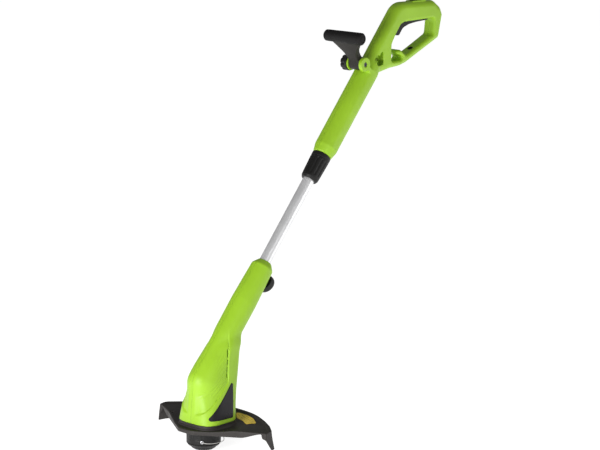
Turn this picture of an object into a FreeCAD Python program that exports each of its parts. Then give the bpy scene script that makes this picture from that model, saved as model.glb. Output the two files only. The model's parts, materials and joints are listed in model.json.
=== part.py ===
"""Electric string trimmer: loop handle, telescopic tube, swivelling motor head, guard and line spool.

Frame: millimetres, +Z up along the spool axis, +X back towards the operator, XZ the symmetry plane.
The origin is the centre of the bump knob's lower face.
"""
import FreeCAD, Part
import Sketcher
import os
import math
from FreeCAD import Vector, Rotation, Placement

os.makedirs("parts", exist_ok=True)
doc = FreeCAD.newDocument("string_trimmer")

# ---------------------------------------------------------------- driving dimensions (mm, degrees)
DIMS = {
    # shaft line: leans back from the spool axis and crosses it at this height
    "shaft_lean": 41.1, "shaft_height": 149.4,
    "tube_radius": 12.0, "tube_wall": 1.2, "tube_foot": 150.0, "tube_top": 588.0,
    "running_gap": 0.05, "loose_gap": 0.4, "shell_wall": 3.0,
    # handle sleeve, as stations along the shaft line
    "sleeve_foot": 523.0, "sleeve_full": 545.0, "sleeve_radius": 23.4, "sleeve_nose": 19.0,
    "sleeve_end": 770.0, "sleeve_bore": 19.5, "bore_foot": 560.0, "bore_top": 764.0,
    "collar_foot": 459.0, "collar_top": 520.0, "collar_radius": 18.8,
    # loop handle, measured in the symmetry plane
    "grip_top": 832.0, "grip_under": 790.0, "loop_back": 708.7, "loop_width": 34.0, "edge_round": 8.0,
    "trigger_width": 14.0,
    # auxiliary handle
    "pivot_station": 722.0, "pivot_offset": 34.5, "ear_radius": 14.8, "ear_gap": 28.0,
    "ear_thick": 8.0, "far_ear_thick": 4.5, "stem_height": 74.4, "stem_lean": 36.3, "grip_radius": 14.0,
    "knob_radius": 16.2, "bolt_radius": 3.0,
    # motor head
    "head_foot": 60.0, "neck_radius": 25.0, "neck_full": 250.0, "neck_top": 262.0,
    "neck_start": 135.0, "button_station": 233.0, "button_radius": 17.0, "button_crown": 42.0,
    "stator_radius": 24.0, "shaft_radius": 4.0,
    # guard
    "guard_top": 58.0, "guard_wall": 3.0, "lip_foot": 44.0, "skirt_foot": 26.0,
    "guard_back": 102.0, "wing_half": 144.0, "hub_radius": 56.0,
    # spool
    "spool_radius": 34.0, "spool_top": 40.0, "knob_reach": 27.0,
    "line_radius": 0.65, "eyelet_height": 24.0, "eyelet_angle": 219.0,
}

sheet = doc.addObject("Spreadsheet::Sheet", "dim")
for row, (alias, value) in enumerate(DIMS.items(), start=1):
    sheet.set("A%d" % row, alias)
    sheet.set("B%d" % row, str(value))
    sheet.setAlias("B%d" % row, alias)
doc.recompute()


def size(alias):
    """A driving dimension, read back from the sheet."""
    return float(sheet.get(alias))


LEAN = math.radians(size("shaft_lean"))
SHAFT = Placement(Vector(0, 0, size("shaft_height")), Rotation(Vector(0, 1, 0), size("shaft_lean")))
HOME = Placement()
ALONG_Y = Rotation(Vector(1, 0, 0), -90)
nodes = []


def on_shaft(station, offset=0.0):
    """World X and Z of a point at a station on the shaft line, moved back and down by an offset."""
    point = SHAFT.multVec(Vector(offset, 0, station))
    return point.x, point.z


# ---------------------------------------------------------------- helpers
def keep(feature, name):
    """Marks a feature as one of the trimmer's pieces: its label names the part file."""
    feature.Label = name
    nodes.append(feature)
    return feature


def bind(feature, **sizes):
    """Binds properties to spreadsheet expressions, or sets them when they are plain numbers."""
    for prop, value in sizes.items():
        if isinstance(value, str):
            feature.setExpression(prop, value)
        else:
            setattr(feature, prop, value)
    return feature


def cylinder(name, radius, height, place):
    return place_at(bind(doc.addObject("Part::Cylinder", name), Radius=radius, Height=height), place)


def box(name, low, high, place=HOME):
    """A box between two corners, turned as a whole by an optional placement."""
    feature = doc.addObject("Part::Box", name)
    feature.Length, feature.Width, feature.Height = [high[i] - low[i] for i in range(3)]
    return place_at(feature, place * Placement(Vector(*low), Rotation()))


def place_at(feature, place):
    feature.Placement = place
    return feature


def across(x, z, y=0.0):
    """A placement whose local Z runs along world +Y, starting at height y."""
    return Placement(Vector(x, y, z), ALONG_Y)


def cut(name, base, tool):
    return bind(doc.addObject("Part::Cut", name), Base=base, Tool=tool)


def fuse(name, *shapes):
    feature = doc.addObject("Part::MultiFuse", name)
    feature.Shapes = list(shapes)
    return feature


def common(name, base, tool):
    return bind(doc.addObject("Part::Common", name), Base=base, Tool=tool)


def group(name, *shapes):
    """Identical fasteners kept as one piece of separate solids."""
    feature = doc.addObject("Part::Compound", name)
    feature.Links = list(shapes)
    return feature


def plane_of(body, role):
    return [item for item in body.Origin.OriginFeatures if item.Role == role][0]


def new_sketch(body, role, offset=0.0):
    sketch = body.newObject("Sketcher::SketchObject", body.Name + "_sketch")
    sketch.AttachmentSupport = (plane_of(body, role), "")
    sketch.MapMode = "FlatFace"
    sketch.AttachmentOffset = Placement(Vector(0, 0, offset), Rotation())
    return sketch


def number(sketch, value):
    """A coordinate given as a number or as an expression of the sheet's cells."""
    if isinstance(value, str):
        value = sketch.evalExpression(value)
    return float(getattr(value, "Value", value))


def polygon(sketch, corners):
    """A closed polygon whose corners are tied to the sketch origin by their coordinates."""
    first = sketch.GeometryCount
    points = [Vector(number(sketch, x), number(sketch, y), 0) for x, y in corners]
    for i, point in enumerate(points):
        sketch.addGeometry(Part.LineSegment(point, points[(i + 1) % len(points)]), False)
    for i in range(len(points)):
        after = first + (i + 1) % len(points)
        sketch.addConstraint(Sketcher.Constraint("Coincident", first + i, 2, after, 1))
    for i, corner in enumerate(corners):
        for axis, kind in enumerate(("DistanceX", "DistanceY")):
            value = points[i][axis]
            index = sketch.addConstraint(Sketcher.Constraint(kind, -1, 1, first + i, 1, value))
            if isinstance(corner[axis], str):
                sketch.setExpression("Constraints[%d]" % index, corner[axis])


def circle(sketch, x, y, radius):
    spot = Vector(number(sketch, x), number(sketch, y), 0)
    index = sketch.addGeometry(Part.Circle(spot, Vector(0, 0, 1), number(sketch, radius)), False)
    limit = sketch.addConstraint(Sketcher.Constraint("Radius", index, number(sketch, radius)))
    if isinstance(radius, str):
        sketch.setExpression("Constraints[%d]" % limit, radius)
    for kind, value in (("DistanceX", spot.x), ("DistanceY", spot.y)):
        sketch.addConstraint(Sketcher.Constraint(kind, -1, 1, index, 3, value))


def rounded_outline(sketch, corners):
    """A closed outline of straight sides whose corners (x, y, radius) are rounded by tangent arcs."""
    count = len(corners)
    points = [Vector(x, y, 0) for x, y, radius in corners]
    starts, ends, middles = [], [], []
    for i in range(count):
        back = (points[i - 1] - points[i]).normalize()
        ahead = (points[(i + 1) % count] - points[i]).normalize()
        half = back.getAngle(ahead) / 2
        reach = corners[i][2] / math.tan(half)
        bisector = (back + ahead).normalize()
        starts.append(points[i] + back * reach)
        ends.append(points[i] + ahead * reach)
        middles.append(points[i] + bisector * (corners[i][2] / math.sin(half) - corners[i][2]))
    for i in range(count):
        sketch.addGeometry(Part.Arc(starts[i], middles[i], ends[i]), False)
        sketch.addGeometry(Part.LineSegment(ends[i], starts[(i + 1) % count]), False)


def new_body(name):
    return doc.addObject("PartDesign::Body", name)


def turned(name, profile, place=HOME):
    """A body of revolution about its own Z axis, from a profile of (radius, height) corners."""
    body = new_body(name)
    sketch = new_sketch(body, "XZ_Plane")
    polygon(sketch, profile)
    solid = body.newObject("PartDesign::Revolution", name + "_turn")
    solid.Profile = sketch
    solid.ReferenceAxis = (sketch, ["V_Axis"])
    solid.Angle = 360
    sketch.Visibility = False
    body.Tip = solid
    return place_at(body, place)


def ring(name, inner, outer, low, high, place=HOME):
    """A plain ring or bush between two radii and two heights."""
    return turned(name, [(inner, low), (outer, low), (outer, high), (inner, high)], place)


def padded(name, role, outline, length, offset=0.0, place=HOME, both_ways=False, holes=()):
    """A body padded from an outline of plain (x, y) or rounded (x, y, radius) corners."""
    body = new_body(name)
    sketch = new_sketch(body, role, offset)
    for shape in (outline,) + tuple(holes):
        if len(shape[0]) == 3:
            rounded_outline(sketch, shape)
        else:
            polygon(sketch, shape)
    pad = body.newObject("PartDesign::Pad", name + "_pad")
    pad.Profile = sketch
    pad.SideType = "Symmetric" if both_ways else "One side"
    bind(pad, Length=length)
    body.Tip = pad
    return place_at(body, place)


def screw(name, x, z, head, tip):
    """A pan-head screw along Y, with its head at y = head and its point at y = tip."""
    inward = -1 if head > tip else 1
    low = min(head, tip)
    shank = cylinder(name + "_shank", 1.8, abs(head - tip), across(x, z, low))
    head_low = head - 2.2 if inward < 0 else head
    cap = cylinder(name + "_head", 3.4, 2.2, across(x, z, head_low))
    return fuse(name, shank, cap)


HALF_SPACE = {"left": ((-400, -400, -400), (1200, 0, 1400)), "right": ((-400, 0, -400), (1200, 400, 1400))}


def half(name, whole, side):
    """The left (-Y) or right (+Y) half of a casing that is split on the symmetry plane."""
    low, high = HALF_SPACE[side]
    return keep(common(name, whole, box(name + "_side", low, high)), name)


# ---------------------------------------------------------------- rear handle
def handle_pieces():
    width = size("loop_width")
    top = size("grip_top")
    under = size("grip_under")
    back = size("loop_back")
    front_top = size("sleeve_radius") - 0.4
    strut_foot = on_shaft(size("sleeve_end") - 130, -front_top)
    rise = (top - size("shaft_height") - front_top * math.sin(LEAN)) / math.cos(LEAN)
    strut_top = on_shaft(rise, -front_top)
    outer = [
        (strut_foot[0], strut_foot[1], 10), (strut_top[0], top, 34), (back - 29.7, top - 4, 20),
        (back - 7.7, top - 20, 14), (back, top - 36, 2), (back - 12.4, top - 84.5, 10), (589, 705, 16),
        (539, 699.5, 20), (500, 692.5, 8), (470, 664, 4), (430, 624, 4),
    ]
    opening = [
        (back - 29.2, under, 8), (back - 33.2, under - 34, 7), (597, 724, 4), (587, 723, 3),
        (566, 736, 5), (551, 736, 3), (548, 730, 2), (553, 726, 2), (566, 724, 3), (575, 718, 2),
        (570, 712, 4), (539, 712, 4), (539, 748, 10), (550, 765, 6), (570, under, 8),
    ]
    loop = padded("handle_loop", "XZ_Plane", outer, width, both_ways=True, holes=[opening])
    doc.recompute()
    plate = loop.Tip
    shape = plate.Shape
    rims = [face.OuterWire for face in shape.Faces if abs(abs(face.CenterOfMass.y) - width / 2) < 0.01]
    outer_edges = [edge for rim in rims for edge in rim.Edges]
    face_edges = ["Edge%d" % index for index, edge in enumerate(shape.Edges, start=1)
                  if any(edge.isSame(other) for other in outer_edges)]
    rounding = loop.newObject("PartDesign::Fillet", "handle_loop_round")
    rounding.Base = (plate, face_edges)
    rounding.setExpression("Radius", "dim.edge_round")
    loop.Tip = rounding

    sleeve = turned("handle_sleeve", [
        (0, "dim.sleeve_foot"), ("dim.sleeve_nose", "dim.sleeve_foot"),
        ("dim.sleeve_radius", "dim.sleeve_full"), ("dim.sleeve_radius", "dim.sleeve_end"),
        (0, "dim.sleeve_end")], SHAFT)
    nose = cylinder("handle_nose", 15.6, 20, SHAFT * Placement(Vector(0, 0, 505), Rotation()))
    solids = [loop, sleeve, nose] + ear_solids()

    station, offset = size("pivot_station"), size("pivot_offset")
    pivot_x, pivot_z = on_shaft(station, -offset)
    hub_room = cylinder("hub_room", 13.2, size("ear_gap"), across(pivot_x, pivot_z, -size("ear_gap") / 2))
    tube_room = cylinder("tube_room", "dim.sleeve_bore", "dim.bore_top - dim.bore_foot",
                         SHAFT * Placement(Vector(0, 0, size("bore_foot")), Rotation()))
    tube_way = cylinder("tube_way", "dim.tube_radius + dim.running_gap", 80,
                        SHAFT * Placement(Vector(0, 0, 500), Rotation()))
    bolt_way = cylinder("bolt_way", "dim.bolt_radius", 80, across(pivot_x, pivot_z, -40))
    bolt_sink = cylinder("bolt_sink", 5.0, 4, across(pivot_x, pivot_z, -size("ear_gap") / 2 - 8.0))
    trigger_slot = box("trigger_slot", (553, -7.6, 760), (669, 7.6, 814))
    grip_room = box("grip_room", (582, -11.5, 793.6), (680, 11.5, 822.3))
    strut_room = box("strut_room", (549, -10, 772), (583, 10, 808))
    lock_way = box("lock_way", (614.5, -6.4, 815), (649.5, 6.4, 840))
    gland_way = cylinder("gland_way", 6.5, 12, gland_place(-9))
    windows = [padded("side_window", "XZ_Plane", [(508, 737, 1.5), (508.6, 711.5, 1.5), (487.5, 711.8, 1.5)], 12,
                      offset=level) for level in (21.4, -33.4)]
    rooms = [hub_room, tube_room, tube_way, bolt_way, bolt_sink, trigger_slot, grip_room, strut_room,
             lock_way, gland_way] + windows
    screws = keep(group("handle_screws", *[
        screw("handle_screw_%d" % i, x, z, 14.6, -9.0)
        for i, (x, z) in enumerate([(572, 816), (691, 804), (687, 753), (630, 729.5), (524, 706)])]),
        "handle_screws")
    bezel = box("lock_bezel", (610, -10, 826), (654, 10, 832.9))
    body = cut("handle_casing", fuse("handle_solid", bezel, *solids), fuse("handle_rooms", *rooms))
    whole = cut("handle_whole", body, fuse("handle_screw_ways", screws))
    half("handle_shell_left", whole, "left")
    half("handle_shell_right", whole, "right")


def ear_solids():
    """Two ears that stand up from the sleeve and carry the auxiliary handle's bolt."""
    station, offset = size("pivot_station"), size("pivot_offset")
    x, z = on_shaft(station, -offset)
    solids = []
    for sign in (-1, 1):
        thick = size("far_ear_thick") if sign > 0 else size("ear_thick")
        low = size("ear_gap") / 2 if sign > 0 else -size("ear_gap") / 2 - thick
        boss = cylinder("ear_boss", "dim.ear_radius", thick, across(x, z, low))
        web = box("ear_web", (-offset, low, station - 11), (-8, low + thick, station + 11), SHAFT)
        solids += [boss, web]
    return solids


def gland_place(depth):
    """The cord gland stands on the lower bar's inner wall and points up into the hand opening."""
    tilt = Rotation(Vector(0, 1, 0), -22.3)
    foot = Vector(615.7, 0, 731.2)
    return Placement(foot + tilt.multVec(Vector(0, 0, depth)), tilt)


def handle_inner_pieces():
    bush = turned("cord_gland", [(4.0, -8), (6.4, -8), (6.4, 0.6), (7.4, 0.6), (6.6, 2.0), (4.0, 2.0)],
                  gland_place(0))
    keep(bush, "cord_gland")
    keep(box("switch_body", (630, -9, 805.8), (652, 9, 815.6)), "switch_body")
    keep(box("terminal_block", (656, -9, 806), (678, 9, 818)), "terminal_block")
    collet = ring("collet_ring", "dim.tube_radius + dim.running_gap", 14.8, 478, 504.8, SHAFT)
    slot = box("collet_slot", (0, -1, 470), (20, 1, 500), SHAFT)
    keep(cut("tube_collet", collet, slot), "tube_collet")
    x, z = on_shaft(size("pivot_station"), -size("pivot_offset"))
    face = size("ear_gap") / 2 + size("ear_thick")
    shank = cylinder("pivot_shank", "dim.bolt_radius", 2 * face + 6, across(x, z, -face + 2))
    head = cylinder("pivot_head", 4.8, 3, across(x, z, -face + 1))
    socket = padded("pivot_socket", "XY_Plane", [(2.4 * math.cos(math.radians(60 * i)),
                    2.4 * math.sin(math.radians(60 * i))) for i in range(6)], 2.0, place=across(x, z, -face))
    keep(cut("pivot_bolt", fuse("pivot_solid", shank, head), socket), "pivot_bolt")


# ---------------------------------------------------------------- trigger and lock-off button
def trigger_pieces():
    outline = [(662, 789, 2), (626, 787.5, 60), (603, 785, 40), (584, 779, 20), (573, 764, 4),
               (559, 764, 2), (561, 780, 12), (572, 801, 8), (664, 801, 4)]
    paddle = padded("trigger_paddle", "XZ_Plane", outline, "dim.trigger_width", both_ways=True)
    pin_hole = cylinder("trigger_pin_hole", 2.05, 30, across(657, 796, -15))
    keep(cut("trigger", paddle, pin_hole), "trigger")
    keep(cylinder("trigger_pin", 2.0, 22.8, across(657, 796, -11.4)), "trigger_pin")
    keep(ring("trigger_spring", 2.2, 3.4, 801.2, 822.0, Placement(Vector(606, 0, 0), Rotation())),
         "trigger_spring")
    cap = padded("lock_cap", "XY_Plane", [(616, -5.8, 3), (648, -5.8, 3), (648, 5.8, 3), (616, 5.8, 3)],
                 12.0, offset=822.0)
    foot = box("lock_foot", (612, -9, 819.2), (652, 9, 822.1))
    keep(fuse("lock_off_button", cap, foot), "lock_off_button")


# ---------------------------------------------------------------- auxiliary handle
def aux_place():
    x, z = on_shaft(size("pivot_station"), -size("pivot_offset"))
    return Placement(Vector(x, 0, z), Rotation(Vector(0, 1, 0), -size("stem_lean")))


def aux_pieces():
    place = aux_place()
    height = size("stem_height")
    fan = padded("stem_fan", "YZ_Plane", [
        (-13.6, 0, 2), (-13.0, 24, 30), (-42, height - 11, 2), (-42, height, 2), (42, height, 2),
        (42, height - 11, 2), (13.0, 24, 30), (13.6, 0, 2)], 13.0, both_ways=True, place=place)
    hub = cylinder("stem_hub", 12.6, 27.2, place * Placement(Vector(0, -13.6, 0), ALONG_Y))
    core = cylinder("stem_core", 9.0, 98, place * Placement(Vector(0, -49, height), ALONG_Y))
    way = cylinder("stem_way", "dim.bolt_radius + dim.running_gap", 60,
                   place * Placement(Vector(0, -30, 0), ALONG_Y))
    keep(cut("aux_handle_stem", fuse("stem_solid", fan, hub, core), way), "aux_handle_stem")
    grip_seat = place * Placement(Vector(0, 0, height), ALONG_Y)
    sleeve = turned("grip_sleeve", [(9.05, -46), (13.2, -46), (14.0, -38), ("dim.grip_radius", 38),
                                    (13.2, 46), (9.05, 46)], grip_seat)
    notch = box("grip_notch", (-6.7, -42.3, height - 20), (6.7, 42.3, height), place)
    keep(cut("aux_grip", sleeve, notch), "aux_grip")
    caps = []
    for sign in (-1, 1):
        turn = grip_seat if sign > 0 else grip_seat * Placement(Vector(), Rotation(Vector(1, 0, 0), 180))
        caps.append(turned("grip_cap", [(0, 49.05), (9.05, 49.05), (9.05, 46.1), (13.3, 46.1), (12.6, 50),
                                        (10.6, 52), (0, 52)], turn))
    keep(group("aux_grip_caps", *caps), "aux_grip_caps")


def knob_pieces():
    """The clamp knob on the bolt's end, with finger scallops cut round its rim."""
    x, z = on_shaft(size("pivot_station"), -size("pivot_offset"))
    face = size("ear_gap") / 2 + size("far_ear_thick")
    thick = 15.5
    body = new_body("clamp_knob_body")
    disc = new_sketch(body, "XY_Plane")
    circle(disc, 0, 0, "dim.knob_radius")
    circle(disc, 0, 0, 6.0)
    pad = body.newObject("PartDesign::Pad", "knob_disc")
    pad.Profile = disc
    pad.Length = thick
    scallop = new_sketch(body, "XY_Plane", thick)
    circle(scallop, size("knob_radius") + 2.2, 0, 4.2)
    pocket = body.newObject("PartDesign::Pocket", "knob_scallop")
    pocket.Profile = scallop
    pocket.Length = thick - 3.0
    pattern = body.newObject("PartDesign::PolarPattern", "knob_scallops")
    pattern.Originals = [pocket]
    pattern.Axis = (disc, ["N_Axis"])
    pattern.Angle = 360
    pattern.Occurrences = 8
    body.Tip = pattern
    body.Placement = across(x, z, face + 0.4)
    keep(body, "clamp_knob")
    keep(ring("knob_insert", "dim.bolt_radius + dim.running_gap", 6.0, 0.6, 13.5,
              across(x, z, face + 0.4)), "knob_insert")


# ---------------------------------------------------------------- tube and locking collar
def tube_pieces():
    keep(ring("shaft_tube", "dim.tube_radius - dim.tube_wall", "dim.tube_radius", "dim.tube_foot",
              "dim.tube_top", SHAFT), "shaft_tube")
    keep(ring("tube_guide", "dim.tube_radius", "dim.sleeve_bore - 0.1", 560.5, 584, SHAFT), "tube_guide")
    keep(ring("swivel_ferrule", "dim.tube_radius", 20.5, "dim.tube_foot + 1", 166, SHAFT),
         "swivel_ferrule")


def collar_piece():
    """The twist collar: a tapered ring with grip flutes cut round it."""
    body = turned("locking_collar_body", [
        (12.6, "dim.collar_foot"), (14.4, "dim.collar_foot"), (17.2, "dim.collar_foot + 5"),
        ("dim.collar_radius", "dim.collar_top - 8"), ("dim.collar_radius", "dim.collar_top"),
        (16.2, "dim.collar_top"), (16.2, 474), (12.6, 468)], SHAFT)
    flute = new_sketch(body, "XY_Plane", size("collar_foot") + 6)
    circle(flute, size("collar_radius") + 2.4, 0, 3.4)
    pocket = body.newObject("PartDesign::Pocket", "collar_flute")
    pocket.Profile = flute
    pocket.Length = 42
    pocket.Reversed = True
    pattern = body.newObject("PartDesign::PolarPattern", "collar_flutes")
    pattern.Originals = [pocket]
    pattern.Axis = (flute, ["N_Axis"])
    pattern.Angle = 360
    pattern.Occurrences = 12
    body.Tip = pattern
    keep(body, "locking_collar")


# ---------------------------------------------------------------- motor head casing
# Level sections of the casing: height, centre X, half length in X, half width in Y
HEAD_SECTIONS = [(60, 12, 54, 54), (117, 20.7, 51.5, 47.5), (164, 34.8, 46.5, 38.5), (209, 56.5, 34.5, 28)]


def head_solid(name, inset, foot):
    """The casing's outer form drawn in by an inset: an oval loft that turns into the round neck."""
    sections = []
    for index, (height, centre, half_x, half_y) in enumerate(HEAD_SECTIONS):
        level = foot if index == 0 else height
        oval = doc.addObject("Part::Ellipse", "%s_oval_%d" % (name, index))
        oval.MajorRadius = max(half_x, half_y + 0.01) - inset
        oval.MinorRadius = half_y - inset
        oval.Placement = Placement(Vector(centre, 0, level), Rotation())
        sections.append(oval)
    rim = doc.addObject("Part::Circle", name + "_rim")
    rim.Radius = size("neck_radius") - inset
    rim.Placement = SHAFT * Placement(Vector(0, 0, size("neck_start")), Rotation())
    loft = doc.addObject("Part::Loft", name + "_loft")
    loft.Sections = sections + [rim]
    loft.Solid = True
    return loft


# Casing screws: X, Z and the depth of the head below the symmetry plane
HEAD_SCREWS = [(48, 82, 42.0), (62, 150, 34.0), (79, 205, 20.0)]


def head_pieces():
    body = head_solid("head_outer", 0.0, size("head_foot"))
    neck = turned("head_neck", [
        (0, "dim.neck_start"), ("dim.neck_radius", "dim.neck_start"), ("dim.neck_radius", "dim.neck_full"),
        (17, "dim.neck_top"), (0, "dim.neck_top")], SHAFT)
    room = head_solid("head_inner", size("shell_wall"), size("head_foot") - 0.5)
    neck_room = turned("neck_room", [
        (0, "dim.neck_start - 1"), ("dim.neck_radius - dim.shell_wall", "dim.neck_start - 1"),
        ("dim.neck_radius - dim.shell_wall", 244), ("dim.tube_radius + dim.loose_gap", 250),
        ("dim.tube_radius + dim.loose_gap", 270), (0, 270)], SHAFT)
    button_way = cylinder("button_way", "dim.button_radius + dim.loose_gap", 30, button_place(16))
    vents = [box("vent_%d" % i, (30 + 4 * i, -80, 172 + 6 * i), (33 + 4 * i, 80, 184 + 6 * i))
             for i in range(5)]
    screws = keep(group("head_screws", *[
        screw("head_screw_%d" % i, x, z, depth, -depth + 8.0)
        for i, (x, z, depth) in enumerate(HEAD_SCREWS)]), "head_screws")
    bosses = [cylinder("head_boss", 5.0, 2 * depth + 6, across(x, z, -depth - 3))
              for x, z, depth in HEAD_SCREWS]
    outside = fuse("head_outside", body, neck)
    hollow = cut("head_hollow", fuse("head_rooms", room, neck_room), fuse("head_bosses", *bosses))
    solid = cut("head_shell", outside, fuse("head_openings", hollow, button_way, *vents))
    sinks = [cylinder("head_sink", 3.6, 30, across(x, z, depth - 2.2))
             for x, z, depth in HEAD_SCREWS]
    whole = cut("head_whole", solid, fuse("head_screw_ways", screws, *sinks))
    half("motor_shell_left", whole, "left")
    half("motor_shell_right", whole, "right")

    plate = head_solid("badge_outer", -0.9, size("head_foot"))
    skin = cut("badge_skin", plate, outside)
    for side, low, high in (("left", -80, -30), ("right", 30, 80)):
        prism = padded("badge_prism_" + side, "XZ_Plane", [(-34, 76, 5), (27, 70, 5), (25, 134, 5)],
                       high - low, offset=-high)
        keep(common("side_badge_" + side, skin, prism), "side_badge_" + side)


def button_place(depth):
    """The swivel button slides along this line, out through the back of the neck."""
    turn = Rotation(Vector(0, 1, 0), 90)
    return SHAFT * Placement(Vector(depth, 0, size("button_station")), turn)


def swivel_pieces():
    button = cylinder("button_blank", "dim.button_radius", "dim.button_crown - 22.6", button_place(22.6))
    crown = doc.addObject("Part::Fillet", "button_round")
    crown.Base = button
    doc.recompute()
    top = max(range(len(button.Shape.Edges)), key=lambda i: button.Shape.Edges[i].CenterOfMass.x)
    crown.Edges = [(top + 1, 11.0, 11.0)]
    keep(crown, "swivel_button")
    keep(ring("button_spring", 4.0, 5.4, 0, 6.3, button_place(13)), "button_spring")
    keep(ring("swivel_bush", "dim.tube_radius + dim.running_gap", "dim.neck_radius - dim.shell_wall",
              168, 212, SHAFT), "swivel_bush")


# ---------------------------------------------------------------- motor
def motor_pieces():
    keep(ring("stator", 18.0, "dim.stator_radius", 84, 112), "stator")
    coils = [ring("coil_low", 18.6, 23, 80, 83.9), ring("coil_high", 18.6, 23, 112.1, 116)]
    keep(group("field_coils", *coils), "field_coils")
    plate = turned("plate_disc", [(9.0, 61), (36, 61), (36, 65), (9.0, 65)], HOME)
    posts = [box("frame_post", (-4, y, 64.9), (5, y + 4, 130)) for y in (-29, 25)]
    bridge = box("frame_bridge", (-4, -29, 128), (5, 29, 135))
    pad = box("frame_pad", (-11, -12, 128), (12, 12, 135))
    seat = cylinder("bearing_seat", 8.0, 8, Placement(Vector(0, 0, 127.9), Rotation()))
    keep(cut("motor_frame", fuse("frame_solid", plate, bridge, pad, *posts), seat), "motor_frame")
    for name, low in (("lower_bearing", 60.6), ("upper_bearing", 128.2)):
        outer = 9.0 if name == "lower_bearing" else 8.0
        keep(ring(name, "dim.shaft_radius", outer, low, low + 6), name)
    brushes = [box("brush", low, high) for low, high in
               (((8.2, -2.5, 119), (20, 2.5, 125)), ((-20, -2.5, 119), (-8.2, 2.5, 125)))]
    keep(group("carbon_brushes", *brushes), "carbon_brushes")
    keep(cylinder("suppressor", 6.0, 22, Placement(Vector(46, 0, 100), Rotation())), "suppressor")
    keep(cylinder("motor_spindle", "dim.shaft_radius", 138 - 23, Placement(Vector(0, 0, 23), Rotation())),
         "motor_spindle")
    keep(ring("armature", "dim.shaft_radius", 17.4, 84, 112), "armature")
    keep(ring("commutator", "dim.shaft_radius", 8.0, 117, 127), "commutator")
    fan_blades(8)


def fan_blades(count):
    """A cooling fan: a hub and disc with straight blades set round it."""
    body = turned("fan_body", [("dim.shaft_radius", 67), (23, 67), (23, 68.6), (8, 68.6), (8, 78),
                               ("dim.shaft_radius", 78)])
    blade = new_sketch(body, "XY_Plane", 68)
    polygon(blade, [(7, -0.7), (22, -0.7), (22, 0.7), (7, 0.7)])
    pad = body.newObject("PartDesign::Pad", "fan_blade")
    pad.Profile = blade
    pad.Length = 9
    pattern = body.newObject("PartDesign::PolarPattern", "fan_blades")
    pattern.Originals = [pad]
    pattern.Axis = (blade, ["N_Axis"])
    pattern.Angle = 360
    pattern.Occurrences = count
    body.Tip = pattern
    keep(body, "cooling_fan")


# ---------------------------------------------------------------- guard
def guard_wing():
    """The end of the guard's rear arc, at the wing's rounded corner."""
    return Vector(48, size("wing_half") - 10, 0)


def guard_radius():
    """The radius of the rear arc, which runs through the back's middle and both wing corners."""
    wing = guard_wing()
    depth = size("guard_back") - wing.x
    return (depth * depth + wing.y * wing.y) / (2 * depth)


def mirror(point):
    return Vector(point.x, -point.y, point.z)


def guard_outline(sketch):
    """The guard in plan: a wide arc behind, two rounded wings and a round nose in front."""
    hub = size("hub_radius")
    wing = guard_wing()
    tip = Vector(31, size("wing_half"), 0)
    reach = math.hypot(tip.x, tip.y)
    angle = math.atan2(tip.y, tip.x) + math.acos(hub / reach)
    touch = Vector(hub * math.cos(angle), hub * math.sin(angle), 0)
    corner = Vector((wing.x + tip.x) / 2 + 3.2, (wing.y + tip.y) / 2 + 2.2, 0)
    sketch.addGeometry(Part.Arc(mirror(wing), Vector(size("guard_back"), 0, 0), wing), False)
    sketch.addGeometry(Part.Arc(wing, corner, tip), False)
    sketch.addGeometry(Part.LineSegment(tip, touch), False)
    sketch.addGeometry(Part.Arc(touch, Vector(-hub, 0, 0), mirror(touch)), False)
    sketch.addGeometry(Part.LineSegment(mirror(touch), mirror(tip)), False)
    sketch.addGeometry(Part.Arc(mirror(tip), mirror(corner), mirror(wing)), False)


def guard_pieces():
    body = new_body("guard_body")
    outline = new_sketch(body, "XY_Plane", size("skirt_foot"))
    guard_outline(outline)
    pad = body.newObject("PartDesign::Pad", "guard_block")
    pad.Profile = outline
    pad.setExpression("Length", "dim.guard_top - dim.skirt_foot")
    doc.recompute()
    floor = [i for i, face in enumerate(pad.Shape.Faces, start=1)
             if abs(face.CenterOfMass.z - size("skirt_foot")) < 0.01]
    hollow = body.newObject("PartDesign::Thickness", "guard_hollow")
    hollow.Base = (pad, ["Face%d" % floor[0]])
    hollow.setExpression("Value", "dim.guard_wall")
    hollow.Mode = 0
    hollow.Join = 1
    hollow.Reversed = True
    doc.recompute()
    front = new_sketch(body, "XY_Plane", size("lip_foot"))
    polygon(front, [(-90, -180), (29, -180), (29, 180), (-90, 180)])
    trim = body.newObject("PartDesign::Pocket", "guard_front_trim")
    trim.Profile = front
    trim.Length = 40
    hole = new_sketch(body, "XY_Plane", size("guard_top"))
    circle(hole, 0, 0, 14.0)
    way = body.newObject("PartDesign::Pocket", "guard_spindle_way")
    way.Profile = hole
    way.Length = 10
    body.Tip = way
    collar = ring("guard_collar", 46, 52.8, "dim.guard_top - 0.1", "dim.head_foot - 0.05",
                  Placement(Vector(9, 0, 0), Rotation()))
    screws = []
    for x, y in ((-18, 24), (-18, -24), (29, 0)):
        head = cylinder("guard_screw_head", 3.8, 2.4, Placement(Vector(x, y, 52.5), Rotation()))
        shank = cylinder("guard_screw_shank", 2.0, 11.5, Placement(Vector(x, y, 54), Rotation()))
        screws.append(fuse("guard_screw", head, shank))
    fixings = keep(group("guard_screws", *screws), "guard_screws")
    keep(cut("guard", fuse("guard_solid", body, collar), fixings), "guard")


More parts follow.
